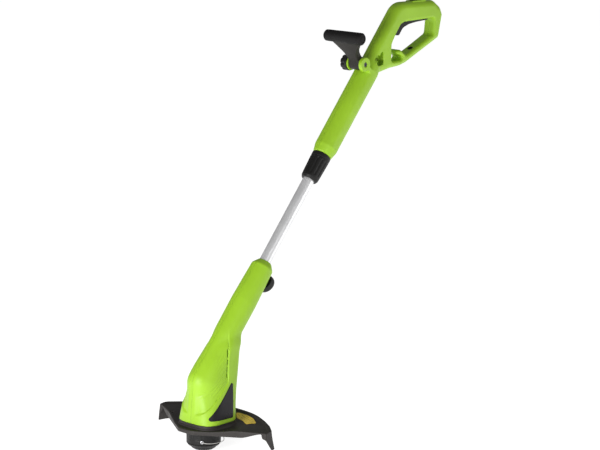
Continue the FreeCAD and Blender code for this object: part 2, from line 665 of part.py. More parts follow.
def guard_fittings():
    radius = guard_radius()
    centre = size("guard_back") - radius
    turn = math.degrees(math.atan2(-118, math.sqrt(radius * radius - 118 * 118)))
    seat = Placement(Vector(centre, 0, 0), Rotation(Vector(0, 0, 1), turn))
    inner = radius - size("guard_wall")
    blade = box("cutter_blade", (inner - 3.4, -12, 29), (inner - 1.9, 12, 42), seat)
    foot = box("cutter_foot", (inner - 2.0, -6, 30), (inner - 0.2, 6, 41), seat)
    keep(fuse("line_cutter", blade, foot), "line_cutter")
    top = size("guard_top")
    panel = new_body("panel_body")
    sketch = new_sketch(panel, "XY_Plane", top + 0.02)
    inner_r, outer_r = radius - 34, radius - 14
    angles = [math.radians(value) for value in (-3, -16, -29)]
    spots = [[Vector(centre + reach * math.cos(a), reach * math.sin(a), 0) for a in angles]
             for reach in (inner_r, outer_r)]
    sketch.addGeometry(Part.Arc(*spots[0]), False)
    sketch.addGeometry(Part.Arc(*spots[1]), False)
    sketch.addGeometry(Part.LineSegment(spots[0][0], spots[1][0]), False)
    sketch.addGeometry(Part.LineSegment(spots[0][2], spots[1][2]), False)
    pad = panel.newObject("PartDesign::Pad", "panel_pad")
    pad.Profile = sketch
    pad.Length = 0.4
    panel.Tip = pad
    keep(panel, "caution_panel")


# ---------------------------------------------------------------- spool and cutting line
def spool_pieces():
    cup = turned("spool_cup", [
        ("dim.shaft_radius", "dim.spool_top"), ("dim.shaft_radius", 30), (7.5, 30), (7.5, 37.5), (31.4, 37.5),
        (31.4, 17.1), ("dim.spool_radius", 17.1), ("dim.spool_radius", "dim.spool_top - 2"),
        ("dim.spool_radius - 2", "dim.spool_top")])
    keep(cut("spool_housing", cup, cylinder("eyelet_way", 2.4, 20, eyelet_place(-8))), "spool_housing")
    keep(turned("spool_cover", [(27.6, 11), (29.5, 11), ("dim.spool_radius", 15.5), ("dim.spool_radius", 17.0),
                                (31.4, 17.0), (31.4, 20), (30.2, 20), (30.2, 13), (27.6, 13)]), "spool_cover")
    keep(turned("line_eyelet", [(1.1, -3.0), (2.4, -3.0), (2.4, 0.2), (3.4, 0.2), (3.0, 1.4), (1.1, 1.4)],
                eyelet_place(0)), "line_eyelet")
    keep(ring("bump_spring", 8.4, 10.2, 20.2, 37.3), "bump_spring")
    keep(turned("bump_spool", [
        (0, 0), (10, 0), (19, 2.4), (25, 6.5), ("dim.knob_reach", 11), ("dim.knob_reach", 13.2), (29.6, 13.2),
        (29.6, 15), (14, 15), (14, 29.5), (29.6, 29.5), (29.6, 31.5), (10.6, 31.5), (10.6, 20), (5, 20),
        (5, 15), (0, 15)]), "bump_spool")
    keep(ring("wound_line", 14.1, 26, 15.2, 29.3), "wound_line")


def eyelet_place(depth):
    """Local Z points straight out of the spool wall at the eyelet."""
    angle = math.radians(size("eyelet_angle"))
    outward = Vector(math.cos(angle), math.sin(angle), 0)
    reach = size("spool_radius") + depth
    return Placement(outward * reach + Vector(0, 0, size("eyelet_height")),
                     Rotation(Vector(0, 0, 1), outward))


def line_route():
    """The free cutting line: out of the eyelet, then curled round the spool as it was wound."""
    steps = [(0, 35.4, 24.0), (6.5, 40.6, 23.8), (25, 41.6, 22.6), (50, 40.2, 21.2), (76, 40.6, 20.2),
             (101, 41.0, 19.8), (124, 43.5, 20.4)]
    start = size("eyelet_angle")
    points = []
    for turn, reach, height in steps:
        angle = math.radians(start + turn)
        points.append(Vector(reach * math.cos(angle), reach * math.sin(angle), height))
    return points


def cutting_line():
    """A tube of straight runs and tangent arcs through the route's points."""
    points = line_route()
    radius = size("line_radius")
    edges = []
    here = points[0]
    length = 0.0
    for before, corner, after in zip(points, points[1:], points[2:]):
        back = before - corner
        ahead = after - corner
        half = back.getAngle(ahead) / 2
        bend = 0.45 * min(back.Length, ahead.Length) * math.tan(half)
        print("cutting line bend radius %.1f mm" % bend)
        reach = bend / math.tan(half)
        start = corner + back.normalize() * reach
        end = corner + ahead.normalize() * reach
        middle = corner + (back + ahead).normalize() * (bend / math.sin(half) - bend)
        edges += [Part.LineSegment(here, start).toShape(), Part.Arc(start, middle, end).toShape()]
        here = end
    edges.append(Part.LineSegment(here, points[-1]).toShape())
    path = Part.Wire(edges)
    direction = points[1] - points[0]
    section = Part.Wire(Part.Circle(points[0], direction, radius).toShape())
    solid = path.makePipeShell([section], True, False)
    ratio = solid.Volume / (math.pi * radius * radius * path.Length)
    print("cutting line length %.1f mm, volume ratio %.3f" % (path.Length, ratio))
    feature = doc.addObject("Part::Feature", "cutting_line")
    feature.Shape = solid
    keep(feature, "cutting_line")


# ---------------------------------------------------------------- build and write
handle_pieces()
handle_inner_pieces()
trigger_pieces()
aux_pieces()
knob_pieces()
tube_pieces()
collar_piece()
head_pieces()
swivel_pieces()
motor_pieces()
guard_pieces()
guard_fittings()
spool_pieces()
cutting_line()
doc.recompute()

faults = []
for item in doc.Objects:
    if "Invalid" in item.State or "Error" in item.State:
        faults.append("%s: %s" % (item.Name, item.State))
for node in nodes:
    shape = node.Shape
    if shape.isNull() or not shape.isValid() or shape.Volume <= 0:
        faults.append("%s: bad shape" % node.Label)
if faults:
    raise SystemExit("\n".join(faults))
for node in nodes:
    node.Shape.exportStep("parts/%s.step" % node.Label)
print("%d parts written" % len(nodes))
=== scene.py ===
"""Looks of the string trimmer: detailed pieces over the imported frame, in metres.

Most shapes are signed distance fields in millimetres, turned into smooth meshes by surface().
A field is negative inside its shape. In the fields, s is the station along the shaft line, q is the
offset behind that line and rho is the distance from a round part's axis.
"""
import bmesh
import bpy
import json
import numpy as np
from concurrent.futures import ThreadPoolExecutor
from math import acos, atan2, cos, pi, radians, sin, tan
from mathutils import Matrix, Vector


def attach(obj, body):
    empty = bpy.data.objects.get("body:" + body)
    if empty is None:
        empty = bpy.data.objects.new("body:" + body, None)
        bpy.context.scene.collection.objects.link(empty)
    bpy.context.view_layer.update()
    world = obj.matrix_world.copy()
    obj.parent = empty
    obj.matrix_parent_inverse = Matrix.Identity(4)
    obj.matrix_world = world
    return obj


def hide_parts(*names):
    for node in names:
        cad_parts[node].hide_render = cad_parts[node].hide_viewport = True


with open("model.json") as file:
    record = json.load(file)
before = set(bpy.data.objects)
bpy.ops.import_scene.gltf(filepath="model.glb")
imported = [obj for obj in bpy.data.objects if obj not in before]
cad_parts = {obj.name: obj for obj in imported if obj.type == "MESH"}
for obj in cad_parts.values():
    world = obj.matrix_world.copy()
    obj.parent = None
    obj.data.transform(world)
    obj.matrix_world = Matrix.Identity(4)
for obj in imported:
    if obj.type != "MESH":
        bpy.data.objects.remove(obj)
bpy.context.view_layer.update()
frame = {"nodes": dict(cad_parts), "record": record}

MM = 0.001
LEAN = radians(41.1)            # of the shaft line from upright
SIN, COS = sin(LEAN), cos(LEAN)
SHAFT_HEIGHT = 149.4            # where the shaft line crosses the spool's axis


# ---------------------------------------------------------------- camera and cutting line
CAMERA_PLACE = (-3.0831, -3.0255, 1.4088)
CAMERA_ANGLES = (radians(48.0), radians(12.5), radians(0.5))    # yaw, downward pitch, roll
LENS = 138.0


def make_camera():
    """A long lens at standing distance, in front of the trimmer and to its left."""
    yaw, pitch, roll = CAMERA_ANGLES
    forward = Vector((sin(yaw) * cos(pitch), cos(yaw) * cos(pitch), -sin(pitch)))
    level = Vector((cos(yaw), -sin(yaw), 0.0))
    upright = level.cross(forward)
    right = level * cos(roll) + upright * sin(roll)
    up = upright * cos(roll) - level * sin(roll)
    data = bpy.data.cameras.new("camera")
    data.lens = LENS
    camera = bpy.data.objects.new("camera", data)
    bpy.context.scene.collection.objects.link(camera)
    turn = Matrix((right, up, -forward)).transposed().to_4x4()
    camera.matrix_world = Matrix.Translation(CAMERA_PLACE) @ turn
    bpy.context.scene.camera = camera


LINE_DIAMETER = 0.0013
# Free end of the cutting line, from the eyelet round the spool
LINE_ROUTE = [
    (-0.02751, -0.02228, 0.0240), (-0.02846, -0.02896, 0.0238), (-0.01824, -0.03739, 0.0226),
    (-0.00070, -0.04019, 0.0212), (0.01716, -0.03680, 0.0202), (0.03141, -0.02635, 0.0198),
    (0.04160, -0.01272, 0.0204)]


def cutting_line():
    data = bpy.data.curves.new("trimmer_line", "CURVE")
    data.dimensions = "3D"
    data.bevel_depth = LINE_DIAMETER / 2
    data.bevel_resolution = 4
    data.resolution_u = 24
    data.use_fill_caps = True
    spline = data.splines.new("NURBS")
    spline.points.add(len(LINE_ROUTE) - 1)
    for point, place in zip(spline.points, LINE_ROUTE):
        point.co = (*place, 1.0)
    spline.order_u = 3
    spline.use_endpoint_u = True
    line = bpy.data.objects.new("trimmer_line", data)
    bpy.context.scene.collection.objects.link(line)
    return line


make_camera()
line_piece = cutting_line()


# ---------------------------------------------------------------- distance fields (mm)
def join(a, b, r):
    """Union of two fields with a fillet."""
    return np.maximum(r, np.minimum(a, b)) - np.hypot(np.maximum(r - a, 0), np.maximum(r - b, 0))


def meet(a, b, r):
    """Intersection of two fields with a rounded edge."""
    return np.minimum(-r, np.maximum(a, b)) + np.hypot(np.maximum(r + a, 0), np.maximum(r + b, 0))


def carve(a, b, r):
    """The first field less the second, with a rounded edge."""
    return meet(a, -b, r)


def rod(x, y, z, start, end, radius, rounding):
    """A round bar between two points."""
    axis = np.subtract(end, start)
    length = float(np.linalg.norm(axis))
    axis = axis / length
    dx, dy, dz = x - start[0], y - start[1], z - start[2]
    t = dx * axis[0] + dy * axis[1] + dz * axis[2]
    rho = np.sqrt(np.maximum(dx * dx + dy * dy + dz * dz - t * t, 0))
    return meet(rho - radius, np.abs(t - length / 2) - length / 2, rounding)


def brick(x, y, z, low, high, rounding):
    """A block between two corners, with rounded edges."""
    gaps = [np.abs(v - (a + b) / 2) - (b - a) / 2 for v, a, b in zip((x, y, z), low, high)]
    return meet(meet(gaps[0], gaps[1], rounding), gaps[2], rounding)


def smooth_step(value, low, high):
    """Rises smoothly from 0 at low to 1 at high."""
    t = np.clip((value - low) / (high - low), 0, 1)
    return t * t * (3 - 2 * t)


def rounded(corners, steps=10):
    """Points of a closed polygon whose corners (a, b, radius) are rounded by arcs where they can be."""
    points = []
    spots = [np.array(c[:2], float) for c in corners]
    for i, spot in enumerate(spots):
        back = spots[i - 1] - spot
        ahead = spots[(i + 1) % len(spots)] - spot
        room = 0.48 * min(np.linalg.norm(back), np.linalg.norm(ahead))
        back = back / np.linalg.norm(back)
        ahead = ahead / np.linalg.norm(ahead)
        half = acos(float(np.clip(back @ ahead, -1, 1))) / 2
        reach = min(corners[i][2] / tan(half), room)
        radius = reach * tan(half)
        if radius < 0.01:
            points.append(spot)
            continue
        middle = spot + (back + ahead) / np.linalg.norm(back + ahead) * radius / sin(half)
        first = spot + back * reach - middle
        last = spot + ahead * reach - middle
        start = atan2(first[1], first[0])
        sweep = (atan2(last[1], last[0]) - start + pi) % (2 * pi) - pi
        for j in range(steps + 1):
            angle = start + sweep * j / steps
            points.append(middle + radius * np.array([cos(angle), sin(angle)]))
    return np.array(points)


def outline(corners, cell=0.5, margin=40):
    """Signed distance to a rounded polygon, as a function of its two coordinates."""
    points = rounded(corners)
    low = points.min(0) - margin
    count = np.ceil((points.max(0) + margin - low) / cell).astype(int) + 1
    steps_a, steps_b = (low[i] + cell * np.arange(count[i]) for i in (0, 1))
    a, b = np.meshgrid(steps_a, steps_b, indexing="ij")
    nearest = np.full(a.shape, 1e9)
    within = np.zeros(a.shape, bool)
    for (ax, ay), (bx, by) in zip(points, np.roll(points, -1, axis=0)):
        ex, ey = bx - ax, by - ay
        square = ex * ex + ey * ey
        if square < 1e-12:
            continue
        t = np.clip(((a - ax) * ex + (b - ay) * ey) / square, 0, 1)
        nearest = np.minimum(nearest, (a - ax - t * ex) ** 2 + (b - ay - t * ey) ** 2)
        if ey != 0:
            crossing = (ay > b) != (by > b)
            within ^= crossing & (a < ax + (b - ay) * ex / ey)
    grid = np.sqrt(nearest) * np.where(within, -1, 1)

    def distance(u, v):
        s = np.clip((u - low[0]) / cell, 0, count[0] - 1.001)
        t = np.clip((v - low[1]) / cell, 0, count[1] - 1.001)
        i, j = s.astype(int), t.astype(int)
        s, t = s - i, t - j
        near = grid[i, j] * (1 - t) + grid[i, j + 1] * t
        far = grid[i + 1, j] * (1 - t) + grid[i + 1, j + 1] * t
        return near * (1 - s) + far * s
    return distance


def profile(heights, values, soften=8.0):
    """A smooth curve through a few values, as a function of height."""
    fine = np.arange(heights[0] - 60.0, heights[-1] + 60.0, 1.0)
    plain = np.interp(fine, heights, values)
    slope_low = (values[1] - values[0]) / (heights[1] - heights[0])
    slope_high = (values[-1] - values[-2]) / (heights[-1] - heights[-2])
    plain += np.minimum(fine - heights[0], 0) * slope_low
    plain += np.maximum(fine - heights[-1], 0) * slope_high
    reach = np.arange(-3 * int(soften), 3 * int(soften) + 1)
    weight = np.exp(-0.5 * (reach / (0.5 * soften)) ** 2)
    padded = np.pad(plain, len(reach) // 2, mode="reflect", reflect_type="odd")
    smooth = np.convolve(padded, weight / weight.sum(), mode="valid")
    return lambda h: np.interp(h, fine, smooth)


def shaft(x, z):
    """Station along the shaft line, and offset behind it, of a point in the symmetry plane."""
    return SIN * x + COS * (z - SHAFT_HEIGHT), COS * x - SIN * (z - SHAFT_HEIGHT)


def on_shaft(station, offset):
    """X and Z of a point given by its station and its offset behind the shaft line."""
    return SIN * station + COS * offset, SHAFT_HEIGHT + COS * station - SIN * offset


# ---------------------------------------------------------------- meshes
def make_object(name, points, faces):
    """A smooth-shaded mesh object from points in metres and quads."""
    mesh = bpy.data.meshes.new(name)
    mesh.vertices.add(len(points))
    mesh.vertices.foreach_set("co", np.asarray(points, np.float32).ravel())
    mesh.loops.add(faces.size)
    mesh.loops.foreach_set("vertex_index", faces.astype(np.int32).ravel())
    mesh.polygons.add(len(faces))
    mesh.polygons.foreach_set("loop_start", np.arange(0, faces.size, faces.shape[1], dtype=np.int32))
    mesh.update(calc_edges=True)
    mesh.validate()
    mesh.polygons.foreach_set("use_smooth", np.ones(len(mesh.polygons), bool))
    obj = bpy.data.objects.new(name, mesh)
    bpy.context.scene.collection.objects.link(obj)
    return obj


CUBE = np.array([(i, j, k) for i in (0, 1) for j in (0, 1) for k in (0, 1)])
CUBE_EDGES = [(a, b) for a in range(8) for b in range(a + 1, 8) if np.abs(CUBE[a] - CUBE[b]).sum() == 1]
SLAB = 6            # grid layers that one thread works out at a time
PROBE = 0.25        # half the distance over which a field's slope is measured
CREASE = radians(32)


def surface(name, field, low, high, step):
    """The skin of a distance field inside a box, meshed by surface nets and drawn onto the field."""
    axes = [np.arange(low[i], high[i] + step, step, dtype=np.float32) for i in range(3)]
    slabs = [axes[0][i:i + SLAB] for i in range(0, len(axes[0]), SLAB)]
    with ThreadPoolExecutor(4) as pool:
        values = np.concatenate(list(pool.map(
            lambda part: field(*np.meshgrid(part, axes[1], axes[2], indexing="ij")), slabs)))
    inside = values < 0
    total = np.zeros([n - 1 for n in inside.shape], np.int8)
    for i, j, k in CUBE:
        total += inside[i:i + total.shape[0], j:j + total.shape[1], k:k + total.shape[2]]
    cells = np.argwhere((total > 0) & (total < 8))
    corner = np.stack([values[tuple((cells + shift).T)] for shift in CUBE], axis=1)
    place = np.zeros((len(cells), 3))
    count = np.zeros((len(cells), 1))
    for a, b in CUBE_EDGES:
        va, vb = corner[:, a], corner[:, b]
        crossed = (va < 0) != (vb < 0)
        t = np.where(crossed, va / np.where(crossed, va - vb, 1), 0)[:, None]
        place += np.where(crossed[:, None], CUBE[a] + t * (CUBE[b] - CUBE[a]), 0)
        count += crossed[:, None]
    points = np.array([axis[0] for axis in axes]) + step * (cells + place / count)
    index = np.full(total.shape, -1, np.int32)
    index[tuple(cells.T)] = np.arange(len(cells))
    quads = []
    for axis in range(3):
        u, v = (axis + 1) % 3, (axis + 2) % 3
        size = np.array(inside.shape)
        size[axis] -= 1
        head = [slice(None)] * 3
        tail = [slice(None)] * 3
        head[axis], tail[axis] = slice(0, -1), slice(1, None)
        enters = inside[tuple(head)]
        leaves = inside[tuple(tail)]
        edges = np.argwhere(enters != leaves)
        for side in (u, v):
            edges = edges[(edges[:, side] > 0) & (edges[:, side] < size[side] - 1)]
        ring = []
        for du, dv in ((0, 0), (1, 0), (1, 1), (0, 1)):
            cell = edges.copy()
            cell[:, u] -= 1 - du
            cell[:, v] -= 1 - dv
            ring.append(index[tuple(cell.T)])
        quad = np.stack(ring, axis=1)
        flip = ~enters[tuple(edges.T)]
        quad[flip] = quad[flip][:, ::-1]
        quads.append(quad)
    faces = np.concatenate(quads)
    for _ in range(3):
        value = field(*points.T)
        rise = [field(*(points + shift).T) - field(*(points - shift).T) for shift in PROBE * np.eye(3)]
        slope = np.stack(rise, axis=1) / (2 * PROBE)
        move = -slope * (value / np.maximum((slope ** 2).sum(1), 0.05))[:, None]
        size = np.maximum(np.linalg.norm(move, axis=1, keepdims=True), 1e-9)
        points = points + move * np.minimum(1, 0.45 * step / size)
    return make_object(name, points * MM, faces)


def lathe(name, corners, origin=(0, 0, 0), axis=(0, 0, 1), segments=96):
    """A closed section of (radius, height, rounding) corners turned about an axis."""
    section = rounded(corners, 5)
    turns = np.arange(segments) * 2 * pi / segments
    up = Vector(axis).normalized()
    side = up.orthogonal().normalized()
    other = up.cross(side)
    basis = np.array([side, other, up])
    ring = np.stack([np.outer(np.cos(turns), section[:, 0]), np.outer(np.sin(turns), section[:, 0]),
                     np.tile(section[:, 1], (segments, 1))], axis=2)
    points = ring.reshape(-1, 3) @ basis + np.array(origin)
    n = len(section)
    i, j = np.meshgrid(np.arange(segments), np.arange(n), indexing="ij")
    next_i, next_j = (i + 1) % segments, (j + 1) % n
    faces = np.stack([i * n + j, next_i * n + j, next_i * n + next_j, i * n + next_j], axis=2)
    obj = make_object(name, points * MM, faces.reshape(-1, 4))
    tidy_mesh(obj)
    return obj


def tidy_mesh(obj):
    """Merges doubled points, turns faces outward and keeps hard edges crisp."""
    work = bmesh.new()
    work.from_mesh(obj.data)
    bmesh.ops.remove_doubles(work, verts=work.verts, dist=1e-6)
    bmesh.ops.dissolve_degenerate(work, edges=work.edges, dist=1e-7)
    bmesh.ops.recalc_face_normals(work, faces=work.faces)
    work.to_mesh(obj.data)
    work.free()
    obj.data.set_sharp_from_angle(angle=CREASE)


def merge(name, parts):
    """Several separate solids as one piece."""
    bpy.ops.object.select_all(action="DESELECT")
    for part in parts:
        part.select_set(True)
    bpy.context.view_layer.objects.active = parts[0]
    bpy.ops.object.join()
    parts[0].name = name
    parts[0].data.name = name
    return parts[0]


def put(obj, material, body, slot, *nodes):
    """Gives a piece its finish, its body and the CAD nodes that it stands for."""
    obj.data.materials.clear()
    obj.data.materials.append(material)
    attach(obj, body)
    if nodes:
        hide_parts(*nodes)
    return obj


# ---------------------------------------------------------------- materials
MOTTLE = 0.06       # how far a moulded colour wanders to each side
TARNISH = 0.86      # brightness of metal where it is dull


def new_nodes(name):
    """A new material with its nodes, its shader and the place on the piece that textures start from."""
    material = bpy.data.materials.new(name)
    material.use_nodes = True
    nodes, links = material.node_tree.nodes, material.node_tree.links
    shader = nodes["Principled BSDF"]
    place = nodes.new("ShaderNodeTexCoord")
    return material, nodes, links, shader, place.outputs["Object"]


def noise(nodes, links, place, scale, detail=3.0, stretch=None, rough=0.5):
    """A noise texture in the piece's own space, stretched along an axis where asked."""
    texture = nodes.new("ShaderNodeTexNoise")
    texture.inputs["Scale"].default_value = scale
    texture.inputs["Detail"].default_value = detail
    texture.inputs["Roughness"].default_value = rough
    if stretch:
        mapping = nodes.new("ShaderNodeMapping")
        mapping.inputs["Rotation"].default_value = stretch[0]
        mapping.inputs["Scale"].default_value = stretch[1]
        links.new(place, mapping.inputs["Vector"])
        place = mapping.outputs["Vector"]
    links.new(place, texture.inputs["Vector"])
    return texture.outputs["Fac"]


def spread(nodes, links, value, low, high, start=0.3, end=0.7):
    """Maps a texture's middle range onto low to high."""
    node = nodes.new("ShaderNodeMapRange")
    node.inputs["From Min"].default_value = start
    node.inputs["From Max"].default_value = end
    node.inputs["To Min"].default_value = low
    node.inputs["To Max"].default_value = high
    links.new(value, node.inputs["Value"])
    return node.outputs["Result"]


def blend_colour(nodes, links, factor, first, second):
    """Mixes two colours, each a tuple or another node's output."""
    node = nodes.new("ShaderNodeMix")
    node.data_type = "RGBA"
    links.new(factor, node.inputs["Factor"])
    # A Mix node has sockets named A, B and Result for each data type; these are its colour ones
    colour_a, colour_b, colour_result = node.inputs[6], node.inputs[7], node.outputs[2]
    for socket, colour in ((colour_a, first), (colour_b, second)):
        if isinstance(colour, tuple):
            socket.default_value = (*colour, 1.0)
        else:
            links.new(colour, socket)
    return colour_result


def bump(nodes, links, shader, height, strength, distance):
    """Raises the surface's shading by a texture."""
    node = nodes.new("ShaderNodeBump")
    node.inputs["Strength"].default_value = strength
    node.inputs["Distance"].default_value = distance
    links.new(height, node.inputs["Height"])
    links.new(node.outputs["Normal"], shader.inputs["Normal"])


def moulded(name, colour, roughness, grain=0.10, scuff=0.10, specular=0.5):
    """Moulded plastic or rubber: fine spark grain, faint mottling, patchy gloss and light scuffs."""
    material, nodes, links, shader, place = new_nodes(name)
    broad = noise(nodes, links, place, 14.0, 4.0)
    dark = tuple(c * (1 - MOTTLE) for c in colour)
    light = tuple(min(1.0, c * (1 + MOTTLE)) for c in colour)
    body = blend_colour(nodes, links, spread(nodes, links, broad, 0, 1), dark, light)
    scratch = noise(nodes, links, place, 60.0, 8.0, ((0.5, 0.4, 0.9), (1.0, 9.0, 1.0)), 0.65)
    worn = tuple(min(1.0, c * 0.9 + 0.03) for c in colour)
    body = blend_colour(nodes, links, spread(nodes, links, scratch, 0, scuff, 0.60, 0.76), body, worn)
    links.new(body, shader.inputs["Base Color"])
    gloss = noise(nodes, links, place, 45.0, 5.0)
    polish = spread(nodes, links, gloss, roughness - 0.05, roughness + 0.07)
    links.new(polish, shader.inputs["Roughness"])
    fine = noise(nodes, links, place, 2600.0, 2.0)
    bump(nodes, links, shader, fine, grain, 0.0004)
    shader.inputs["Specular IOR Level"].default_value = specular
    return material


def metal(name, colour, roughness, brushed=None, grain=0.08, metallic=1.0):
    """Metal with drawn or turned marks, patchy polish and a faint tarnish."""
    material, nodes, links, shader, place = new_nodes(name)
    shader.inputs["Metallic"].default_value = metallic
    broad = noise(nodes, links, place, 22.0, 4.0)
    dull = tuple(c * TARNISH for c in colour)
    links.new(blend_colour(nodes, links, spread(nodes, links, broad, 0, 1), dull, colour),
              shader.inputs["Base Color"])
    lines = noise(nodes, links, place, 260.0, 3.0, brushed)
    polish = spread(nodes, links, lines, roughness - 0.06, roughness + 0.08)
    links.new(polish, shader.inputs["Roughness"])
    bump(nodes, links, shader, lines, grain, 0.0002)
    return material


def label_material():
    """Yellow film with broken rule lines and no lettering."""
    material, nodes, links, shader, place = new_nodes("caution_yellow")
    broad = noise(nodes, links, place, 30.0, 3.0)
    patches = spread(nodes, links, broad, 0, 1)
    yellow = blend_colour(nodes, links, patches, (0.92, 0.62, 0.055), (0.98, 0.70, 0.075))
    mapping = nodes.new("ShaderNodeMapping")
    mapping.inputs["Rotation"].default_value = (0.0, 0.0, radians(24))
    links.new(place, mapping.inputs["Vector"])
    wave = nodes.new("ShaderNodeTexWave")
    wave.bands_direction = "X"
    wave.inputs["Scale"].default_value = 68.0
    wave.inputs["Distortion"].default_value = 0.0
    links.new(mapping.outputs["Vector"], wave.inputs["Vector"])
    breaks = noise(nodes, links, mapping.outputs["Vector"], 130.0, 1.0)
    rule = nodes.new("ShaderNodeMath")
    rule.operation = "MULTIPLY"
    links.new(spread(nodes, links, wave.outputs["Fac"], 0, 0.55, 0.80, 0.92), rule.inputs[0])
    links.new(spread(nodes, links, breaks, 0, 1, 0.42, 0.5), rule.inputs[1])
    links.new(blend_colour(nodes, links, rule.outputs["Value"], yellow, (0.10, 0.07, 0.01)),
              shader.inputs["Base Color"])
    gloss = noise(nodes, links, place, 120.0, 3.0)
    links.new(spread(nodes, links, gloss, 0.30, 0.42), shader.inputs["Roughness"])
    bump(nodes, links, shader, gloss, 0.03, 0.0002)
    return material


# Turn and stretch of a texture for marks drawn along the shaft
ALONG_SHAFT = ((0.0, -LEAN, 0.0), (8.0, 8.0, 0.12))
lime = moulded("lime_plastic", (0.305, 0.540, 0.020), 0.42, grain=0.08, scuff=0.06, specular=0.4)
black = moulded("black_plastic", (0.0085, 0.0083, 0.0080), 0.46, grain=0.16, scuff=0.14, specular=0.28)
guard_plastic = moulded("guard_plastic", (0.030, 0.026, 0.024), 0.50, 0.16, 0.16, 0.3)
glossy = moulded("black_gloss", (0.009, 0.008, 0.010), 0.30, grain=0.03, scuff=0.08, specular=0.25)
rubber = moulded("soft_rubber", (0.0075, 0.007, 0.007), 0.62, grain=0.30, scuff=0.12, specular=0.2)
stem_plastic = moulded("stem_plastic", (0.016, 0.014, 0.012), 0.50, 0.14, 0.12, 0.25)
grey = moulded("grey_plastic", (0.10, 0.10, 0.11), 0.5)
nylon = moulded("nylon_line", (0.46, 0.45, 0.43), 0.35, grain=0.02, scuff=0.2)
carbon = moulded("carbon", (0.03, 0.03, 0.03), 0.7)
aluminium = metal("tube_aluminium", (0.90, 0.90, 0.91), 0.34, ALONG_SHAFT, grain=0.05, metallic=0.65)
steel = metal("steel", (0.58, 0.58, 0.60), 0.32, ((0.3, 0.2, 0.0), (1.0, 1.0, 6.0)))
dark_steel = metal("dark_steel", (0.16, 0.16, 0.17), 0.36)
brass = metal("brass", (0.74, 0.55, 0.24), 0.34)
copper = metal("copper_winding", (0.55, 0.22, 0.09), 0.36, ((0.0, 0.0, 0.0), (0.3, 0.3, 9.0)), grain=0.3)
caution = label_material()
# The finish of each of the record's material slots
SLOT_FINISH = {
    "lime_plastic": lime, "black_plastic": black, "black_gloss": glossy, "soft_rubber": rubber,
    "tube_aluminium": aluminium, "steel": steel, "brass": brass, "copper_winding": copper,
    "carbon": carbon, "nylon_line": nylon, "grey_plastic": grey, "caution_yellow": caution}


# ---------------------------------------------------------------- motor head
# Each curve gives a measure of the pod at the heights HEAD_Z. The powers set how square its section is
HEAD_Z = (60, 92, 118, 142, 165, 186, 205, 214)
head_centre = profile(HEAD_Z, (11, 14, 18, 24, 32, 42, 56, 62))
head_front = profile(HEAD_Z, (-36.5, -34.6, -32.2, -25.2, -6.8, 13.2, 32.5, 42))
head_rear = profile(HEAD_Z, (56, 57.7, 61, 67.4, 73.8, 79.0, 84.0, 87.0))
head_side = profile(HEAD_Z, (49.5, 46.5, 43.5, 40, 35.5, 31.5, 28, 26.4))
front_power = profile(HEAD_Z, (3.3, 2.6, 2.1, 2.0, 2.0, 2.0, 2.0, 2.0))
rear_power = profile(HEAD_Z, (3.6, 3.8, 4.0, 4.0, 4.0, 4.0, 3.6, 3.4))


def head_plan(x, y, z):
    """Distance to the pod's level section at height z: a squarish oval."""
    dx = x - head_centre(z)
    rear = dx > 0
    length = np.where(rear, head_rear(z) - head_centre(z), head_centre(z) - head_front(z))
    power = np.where(rear, rear_power(z), front_power(z))
    side = head_side(z)
    u = np.maximum(np.abs(dx) / length, 1e-4)
    v = np.maximum(np.abs(y) / side, 1e-4)
    rho = (u ** power + v ** power) ** (1 / power)
    slope = np.hypot((u / rho) ** (power - 1) / length, (v / rho) ** (power - 1) / side)
    return (rho - 1) / slope


def neck_field(x, y, z):
    """The round neck that takes the tube, with a turned-in mouth."""
    s, q = shaft(x, z)
    q = q - 1.0
    radius = np.interp(s, (40, 170, 246), (25.2, 25.8, 23.2))
    tip = np.interp(s, (249, 252, 264), (0, 0.8, 9.4))
    low = np.minimum(s + 8, 0)
    tube = np.sqrt(q * q + y * y + low * low) - radius + tip
    return meet(tube, s - 263.5, 1.0)


def head_skin(x, y, z):
    """The casing's outer form, before its panel lines."""
    pod = head_plan(x, y, z) * 0.97
    pod = meet(pod, z - 215, 14)
    return join(pod, neck_field(x, y, z), 15)


# ---------------------------------------------------------------- head details
# Edge of the recessed side panel, in X and Z, closed far ahead of the casing
panel_edge = outline([
    (70, 290, 5), (53, 237, 30), (44, 207.5, 40), (37.2, 180, 40), (28.9, 136.6, 16), (4.6, 116, 40),
    (-17, 95.6, 40), (-29, 84.5, 20), (-36, 77.5, 5), (-140, 60, 5), (-140, 290, 5)], margin=60)
badge_edge = outline([(-31.0, 70.0, 4.0), (33.0, 67.6, 3.5), (40.5, 141.0, 3.5)])
# Both ends (X, Z) of each slot along the panel's edge
VENTS = [((39.0, 199.0), (35.6, 186.0)), ((34.6, 179.5), (32.9, 171.5)), ((31.9, 166.0), (29.9, 157.5)),
         ((29.4, 154.0), (27.8, 147.0))]
VENT_HALF_WIDTH = 0.95
RIB_TURN = radians(41)
SIN_RIB, COS_RIB = sin(RIB_TURN), cos(RIB_TURN)
RIB_PITCH = 5.2
RIB_DEPTH = 0.75
PANEL_STEP = 2.2


def panel_depth(x, y, z):
    """How far the casing's side panels stand back from its outer form."""
    ahead = -panel_edge(x, z)
    flank = smooth_step(np.abs(y), 7, 17) * (1 - smooth_step(z, 205, 242))
    step = PANEL_STEP * smooth_step(ahead, -0.4, 1.2) * (1 - smooth_step(ahead, 8, 44))
    across_ribs = (COS_RIB * z - SIN_RIB * x) / RIB_PITCH
    wave = 0.5 - 0.5 * np.cos(2 * pi * across_ribs)
    zone = smooth_step(ahead, 1.5, 4) * (1 - smooth_step(ahead, 19, 29))
    zone = zone * smooth_step(z, 108, 122) * (1 - smooth_step(z, 186, 198))
    return flank * (step + RIB_DEPTH * wave * zone)


